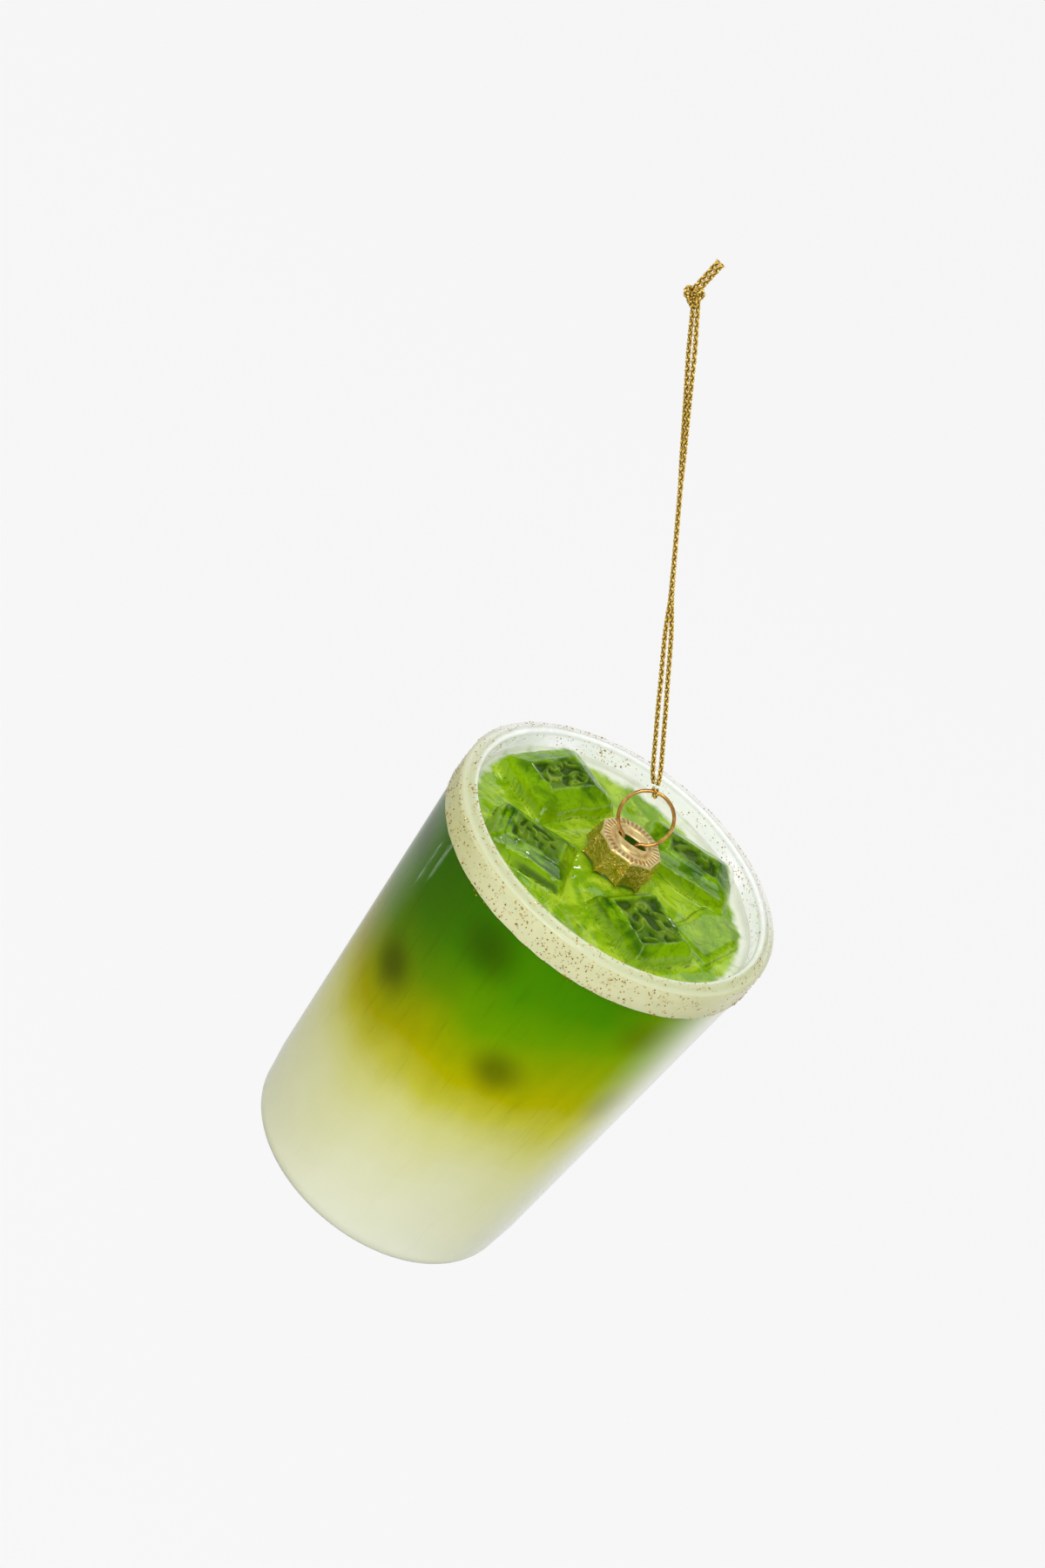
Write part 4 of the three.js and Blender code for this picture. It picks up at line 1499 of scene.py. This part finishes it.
@dataclass
class Tumbler:
    """The blown glass: wall and base, lip, the drink's surface and the neck."""

    paint: bpy.types.Material
    drink: bpy.types.Material
    clear: bpy.types.Material
    hollow: bpy.types.Material
    relief: Relief = field(default_factory=Relief)
    base_radius: float = 26.5
    outer: float = 32.5
    height: float = 87.0
    glass: float = 1.0
    heel: float = 5.0
    neck_rise: float = 3.45
    bore: float = 4.4
    turns: int = 192
    neck_turns: int = 96
    drink_inner: float = 5.3
    drink_turns: int = 400
    drink_cuts: int = 84
    drink_sheet: float = 0.6

    def wall_at(self, height: float) -> float:
        """Give the outside radius of the wall at a height."""
        share = min((height + self.height) / (self.height - BAND_HEIGHT), 1.0)
        return self.base_radius + (self.outer - self.base_radius) * share

    def heel_arc(self, size: float, start: float, end: float, steps: int) -> list[tuple[float, float]]:
        """List the points of the heel's rounding between two angles in degrees."""
        angles = np.radians(np.linspace(start, end, steps))
        return [(self.base_radius - self.heel + size * math.cos(a),
                 self.heel - self.height + size * math.sin(a)) for a in angles]

    def wall(self) -> None:
        """Spin the tapered wall with its base, closed over its own thickness."""
        top, low = -BAND_HEIGHT - 0.05, self.heel - self.height
        rows = [(0.0, -self.height), *self.heel_arc(self.heel, -90, 0, 14)]
        rows += [(self.wall_at(z), z) for z in np.linspace(low, top, 14)[1:]]
        rows += [(self.wall_at(z) - self.glass, z) for z in np.linspace(top, low, 8)]
        rows += [*self.heel_arc(self.heel - self.glass, 0, -90, 8)[1:], (0.0, self.glass - self.height)]
        piece = Bench.spin_up("tumbler_wall", rows, self.turns)
        hand_over(piece, Body.TUMBLER, ["glass_body"], self.paint, 50)

    def lip(self) -> None:
        """Spin the rolled lip and the well's wall as one closed ring."""
        well = self.relief.well
        rows = [(self.outer, -BAND_HEIGHT - 0.02), (self.outer, -0.75), (32.38, -0.42), (32.1, -0.16),
                (31.4, 0.2), (30.9, 0.42), (30.6, 0.5), (30.25, 0.46), (30.0, 0.3), (29.85, 0.02),
                (well, -0.4), (well, -1.4), (well, -3.0), (29.95, -5.2), (31.45, -BAND_HEIGHT - 0.02)]
        piece = Bench.spin_up("tumbler_lip", rows, self.turns, closed=True)
        hand_over(piece, Body.TUMBLER, ["glass_body"], self.clear, 40)

    def surface(self) -> None:
        """Turn a fine flat ring and press the drink's relief into it."""
        Bench.clear()
        outer = self.relief.well + 0.02
        bpy.ops.mesh.primitive_circle_add(vertices=self.drink_turns, radius=outer)
        piece = bpy.context.object
        piece.name = "drink_surface"
        Bench.edit()
        bpy.ops.mesh.extrude_edges_move()
        share = self.drink_inner / outer
        bpy.ops.transform.resize(value=(share, share, 1))
        bpy.ops.mesh.select_mode(type="EDGE")
        bpy.ops.mesh.select_all(action="DESELECT")
        bpy.ops.object.mode_set(mode="OBJECT")
        radius = np.hypot(*points_of(piece)[:, :2].T)
        for edge in piece.data.edges:
            a, b = edge.vertices
            edge.select = bool(abs(radius[a] - radius[b]) > 1)
        bpy.ops.object.mode_set(mode="EDIT")
        bpy.ops.mesh.subdivide(number_cuts=self.drink_cuts)
        bpy.ops.mesh.select_mode(type="VERT")
        bpy.ops.mesh.select_all(action="SELECT")
        bpy.ops.mesh.normals_make_consistent(inside=False)
        bpy.ops.object.mode_set(mode="OBJECT")
        place = points_of(piece)
        shape = self.relief.shape(place[:, 0], place[:, 1])
        place[:, 2] = shape.pop("height")
        move_points(piece, place)
        if piece.data.polygons[0].normal.z < 0:
            piece.data.flip_normals()
        for key, values in shape.items():
            mark(piece, key, values)
        Bench.apply(piece, "SOLIDIFY", thickness=self.drink_sheet, offset=-1.0)
        hand_over(piece, Body.TUMBLER, ["glass_body"], self.drink, None)

    def neck(self) -> None:
        """Spin the neck under the cap with its flared bore."""
        outer, bore, top = self.relief.neck, self.bore, self.neck_rise
        rows = [(outer + 0.5, -2.35), (outer + 0.15, -1.9), (outer, -1.4), (outer, top - 0.2),
                (outer - 0.2, top), (bore + 0.15, top), (bore, top - 0.15), (bore, -0.8), (bore + 1.6, -3.0)]
        piece = Bench.spin_up("tumbler_neck", rows, self.neck_turns, closed=True)
        hand_over(piece, Body.TUMBLER, ["glass_body"], self.hollow, 40)

    def build(self) -> None:
        """Make every piece of the glass."""
        self.wall()
        self.lip()
        self.surface()
        self.neck()


@dataclass
class GlitterBand:
    """Milky lacquer brushed over the rim, with its loose glitter flakes."""

    lacquer: bpy.types.Material
    foil: bpy.types.Material
    outer: float = 33.0
    coat: float = 0.4
    inset: float = 2.2
    rise: float = 1.1
    well: float = 29.8
    below: float = 32.52
    turns: int = 256
    seed: int = 7
    zones: tuple[tuple[str, int], ...] = (("side", 1500), ("slope", 640), ("well", 620), ("below", 90))
    flake_size: tuple[float, float] = (0.14, 0.44)

    def slope(self, radius: np.ndarray | float) -> np.ndarray | float:
        """Give the height of the lip's sloping top at a radius."""
        return self.rise * (self.outer - radius) / self.inset

    def band(self) -> None:
        """Spin the lacquer's closed section and let its lower edge wander."""
        outer, ridge, inside = self.outer, self.outer - self.inset, self.outer - self.coat
        low, crown = -BAND_HEIGHT, self.slope(ridge)
        rows = [(inside, low), (outer - 0.2, low), (outer - 0.06, low + 0.08), (outer, low + 0.25),
                (outer, -4.2), (outer, -2.2), (outer, -0.45), (outer - 0.07, -0.16),
                (outer - 0.3, 0.09), (outer - 0.9, self.slope(outer - 0.9)),
                (ridge + 0.5, self.slope(ridge + 0.5) - 0.01), (ridge + 0.2, crown - 0.08),
                (ridge, crown - 0.07), (ridge - 0.2, crown - 0.13), (ridge - 0.32, crown - 0.28),
                (ridge - 0.1, crown - 0.42), (inside - 0.35, -0.25), (inside, -0.7)]
        piece = Bench.spin_up("lacquer_band", rows, self.turns, closed=True)
        place = points_of(piece)
        angle = np.arctan2(place[:, 1], place[:, 0])
        around = angle * outer + 120
        place[:, 2] += 0.09 * smoothstep(-5.4, -6.2, place[:, 2]) * Ripple(71, 2.2).at(around, angle * 0)
        swell = 0.05 * Ripple(72, 5.0).at(around, place[:, 2] + 30)
        radius = np.hypot(place[:, 0], place[:, 1])
        place[:, :2] *= ((radius - 0.05 + swell * (radius > inside + 0.1)) / radius)[:, None]
        move_points(piece, place)
        hand_over(piece, Body.TUMBLER, ["glitter_rim"], self.lacquer, 40)

    @staticmethod
    def one_flake() -> tuple[np.ndarray, list[list[int]]]:
        """Cut one six-sided flake with bevelled edges.

        Returns:
            Its points and faces.
        """
        Bench.clear()
        bpy.ops.mesh.primitive_circle_add(vertices=6, radius=0.5, fill_type="NGON")
        flake = bpy.context.object
        Bench.edit()
        bpy.ops.mesh.extrude_region_move(TRANSFORM_OT_translate={"value": (0, 0, 0.1)})
        bpy.ops.transform.resize(value=(0.86, 0.86, 1))
        bpy.ops.mesh.select_all(action="SELECT")
        bpy.ops.mesh.normals_make_consistent(inside=False)
        bpy.ops.object.mode_set(mode="OBJECT")
        points = points_of(flake)
        faces = [list(face.vertices) for face in flake.data.polygons]
        bpy.data.objects.remove(flake)
        return points, faces

    def landing(self, zone: str, share: float, dice: np.random.Generator) -> tuple[float, ...]:
        """Find where a flake lands on the rim's section.

        Args:
            zone: Stretch of the section.
            share: Place along that stretch.
            dice: Seeded random numbers.

        Returns:
            Radius and height, and how far the surface faces outwards and upwards there.
        """
        if zone == "side":
            return self.outer, -0.3 - share * (BAND_HEIGHT - 0.35), 1.0, 0.0
        if zone == "slope":
            radius = self.outer - 0.7 - share * (self.inset - 0.6)
            return radius, self.slope(radius) - 0.02, 0.45, 0.9
        if zone == "well":
            return self.well - 0.02, 0.1 - share * 3.0, -1.0, 0.0
        return self.below, -BAND_HEIGHT - abs(dice.normal(0.15, 0.35)) - 0.05, 1.0, 0.0

    def spots(self, dice: np.random.Generator) -> list[tuple[Vector, Vector, float]]:
        """Scatter the flakes in loose clusters.

        Args:
            dice: Seeded random numbers.

        Returns:
            Place, normal and size of each flake.
        """
        found = []
        wide, tight = Ripple(81, 7.0), Ripple(82, 1.6)
        for zone, count in self.zones:
            made = 0
            while made < count:
                angle, share = dice.uniform(-math.pi, math.pi), dice.uniform(0, 1)
                spot = np.array([angle * 32 + 120]), np.array([share * 4 + len(zone) * 7.0])
                thick = 0.6 * float(wide.at(*spot)[0]) + 0.7 * float(tight.at(*spot)[0])
                if dice.uniform(-0.6, 1.0) > thick + 0.15:
                    continue
                made += 1
                radius, height, out, rise = self.landing(zone, share, dice)
                normal = Vector((math.cos(angle) * out, math.sin(angle) * out, rise)).normalized()
                tip = Vector(dice.normal(0, 0.28, 3))
                place = Vector((radius * math.cos(angle), radius * math.sin(angle), height))
                found.append((place, (normal + tip).normalized(), float(dice.uniform(*self.flake_size))))
        return found

    def flakes(self) -> None:
        """Copy the one flake to every place, turned and stretched, as one piece."""
        dice = np.random.default_rng(self.seed)
        points, faces = self.one_flake()
        places, sides, tones, count = [], [], [], 0
        for place, normal, size in self.spots(dice):
            turn = normal.to_track_quat("Z", "Y").to_matrix() @ Matrix.Rotation(dice.uniform(0, 6.28), 3, "Z")
            stretch = np.array((size, size * dice.uniform(0.3, 1.0), size * 0.5))
            places.append((points * stretch) @ np.array(turn).T + np.array(place))
            sides += [[i + count for i in face] for face in faces]
            tones.append(np.full(len(points), dice.uniform(0, 1)))
            count += len(points)
        piece = mesh_from("glitter_flakes", np.concatenate(places), sides)
        mark(piece, "tone", np.concatenate(tones))
        hand_over(piece, Body.TUMBLER, ["glitter_rim"], self.foil, 10)

    def build(self) -> None:
        """Make the band and its glitter."""
        self.band()
        self.flakes()


@dataclass(frozen=True)
class Lamp:
    """A square soft lamp, aimed at the ornament.

    Its place is in metres from the ornament along the camera's own axes: to the right, up and
    towards the camera. Its edge is in metres and its power in watts.
    """

    name: str
    side: float
    rise: float
    near: float
    edge: float
    power: float


@dataclass(frozen=True)
class Studio:
    """Camera, pale floor and soft studio light."""

    eye: Point = (-64.86, -871.75, 446.92)
    right: Point = (0.8189, 0.2408, 0.5210)
    up: Point = (-0.5671, 0.4797, 0.6696)
    back: Point = (-0.0887, -0.8437, 0.5294)
    lens: float = 128.1
    aim_drop: float = 0.03
    floor_drop: float = 0.36
    floor_radius: float = 12.0
    floor_grey: Colour = (0.8, 0.8, 0.8, 1.0)
    floor_glow: float = 0.9
    white: float = 0.94
    room: float = 0.78
    lamps: tuple[Lamp, ...] = (
        Lamp("key_softbox", 0.7, 0.7, 0.6, 0.6, 2.6),
        Lamp("front_softbox", 0.05, 0.3, 1.0, 0.6, 4.8),
        Lamp("sheen_softbox", 0.497, 0.638, -0.396, 0.2, 0.12),
        Lamp("streak_lamp_0", -0.400, 0.085, -0.2095, 0.011, 0.0006),
        Lamp("streak_lamp_1", -0.364, 0.099, -0.2625, 0.011, 0.0006),
        Lamp("spark_lamp_0", 0.44, 0.79, 0.01, 0.06, 0.4),
        Lamp("spark_lamp_1", 0.507, 0.461, 0.729, 0.06, 0.4),
    )

    def camera(self) -> None:
        """Set the camera where the photograph was taken from."""
        data = bpy.data.cameras.new("photo_camera")
        data.lens = self.lens
        data.sensor_width = 36.0
        data.clip_start, data.clip_end = 0.05, 50.0
        lens = bpy.data.objects.new("photo_camera", data)
        axes = Matrix((self.right, self.up, self.back)).transposed().to_4x4()
        lens.matrix_world = Matrix.Translation(Vector(self.eye) * MM) @ axes
        bpy.context.scene.collection.objects.link(lens)
        bpy.context.scene.camera = lens

    def floor(self) -> None:
        """Lay a wide pale floor well below the hanging ornament."""
        Bench.clear()
        bpy.ops.mesh.primitive_circle_add(vertices=64, radius=self.floor_radius, fill_type="NGON",
                                          location=(0, 0, RIM.z - self.floor_drop))
        floor = bpy.context.object
        floor.name = "floor"
        n = Nodes("floor_white")
        n.set(Base_Color=self.floor_grey, Roughness=0.9)
        parts = n.add("SeparateXYZ", {0: n.place()})
        across, depth = parts.outputs["X"], parts.outputs["Y"]
        rear = n.math("MULTIPLY", n.span(depth, 60, 400), n.span(across, -260, 140, 0.48, 0.8))
        rear = n.math("ADD", rear, n.span(depth, 600, 900, 0.0, 0.18))
        left = n.span(across, -140, -520, 0.02, 0.08)
        mirror = n.add("LightPath").outputs["Is Glossy Ray"]
        shine = n.add("Emission", {"Color": WHITE,
                                   "Strength": n.between(mirror, self.white, n.math("MAXIMUM", rear, left))})
        share = n.math("MAXIMUM", n.math("MULTIPLY", n.seen(), self.floor_glow), mirror)
        n.show(n.add("MixShader", {0: share, 1: n.shader.outputs[0], 2: shine.outputs[0]}))
        floor.data.materials.append(n.material)

    def world(self) -> None:
        """Light all round softly, white where the camera sees it."""
        world = bpy.data.worlds.new("studio")
        bpy.context.scene.world = world
        tree = Tree(world, "OutputWorld")
        room = tree.add("Background", {"Color": WHITE, "Strength": self.room})
        height = tree.add("SeparateXYZ", {0: tree.add("TexCoord").outputs["Generated"]}).outputs["Z"]
        low = tree.span(height, 0.1, 0.42, self.white, 0.04, ease=False)
        high = tree.span(height, 0.5, 0.95, 0.0, 0.1, ease=False)
        camera = tree.add("LightPath").outputs["Is Camera Ray"]
        level = tree.between(camera, tree.math("ADD", low, high), self.white)
        sweep = tree.add("Background", {"Color": WHITE, "Strength": level})
        tree.show(tree.add("MixShader", {0: tree.seen(), 1: room.outputs[0], 2: sweep.outputs[0]}))

    def hang(self, lamp: Lamp) -> None:
        """Hang one lamp in its place, out of the camera's view.

        Args:
            lamp: The lamp.
        """
        aim = RIM + Vector((0, 0, -self.aim_drop))
        place = aim + Vector(self.right) * lamp.side + Vector(self.up) * lamp.rise
        place += Vector(self.back) * lamp.near
        data = bpy.data.lights.new(lamp.name, "AREA")
        data.shape, data.size, data.energy = "SQUARE", lamp.edge, lamp.power
        light = bpy.data.objects.new(lamp.name, data)
        light.location = place
        light.rotation_mode = "QUATERNION"
        light.rotation_quaternion = (aim - place).to_track_quat("-Z", "Y")
        light.visible_camera = False
        bpy.context.scene.collection.objects.link(light)

    def build(self) -> None:
        """Set up the whole studio."""
        self.camera()
        self.floor()
        self.world()
        for lamp in self.lamps:
            self.hang(lamp)
        bpy.context.scene.view_settings.view_transform = "Standard"


def main() -> None:
    """Build the studio and every sub-assembly in order."""
    logging.basicConfig(level=logging.INFO, format="%(name)s: %(message)s")
    Studio().build()
    ring = RingFrame()
    yarn = MetallicYarn().build()
    HangingCord(ring, yarn).build()
    WireHanger(ring, GoldWire().build()).build()
    CrownCap(GoldSheet().build()).build()
    Tumbler(WallPaint().build(), DrinkPaint().build(), ClearLip().build(), HollowPaint().build()).build()
    GlitterBand(MilkLacquer().build(), GlitterFoil().build()).build()


if __name__ == "__main__":
    main()
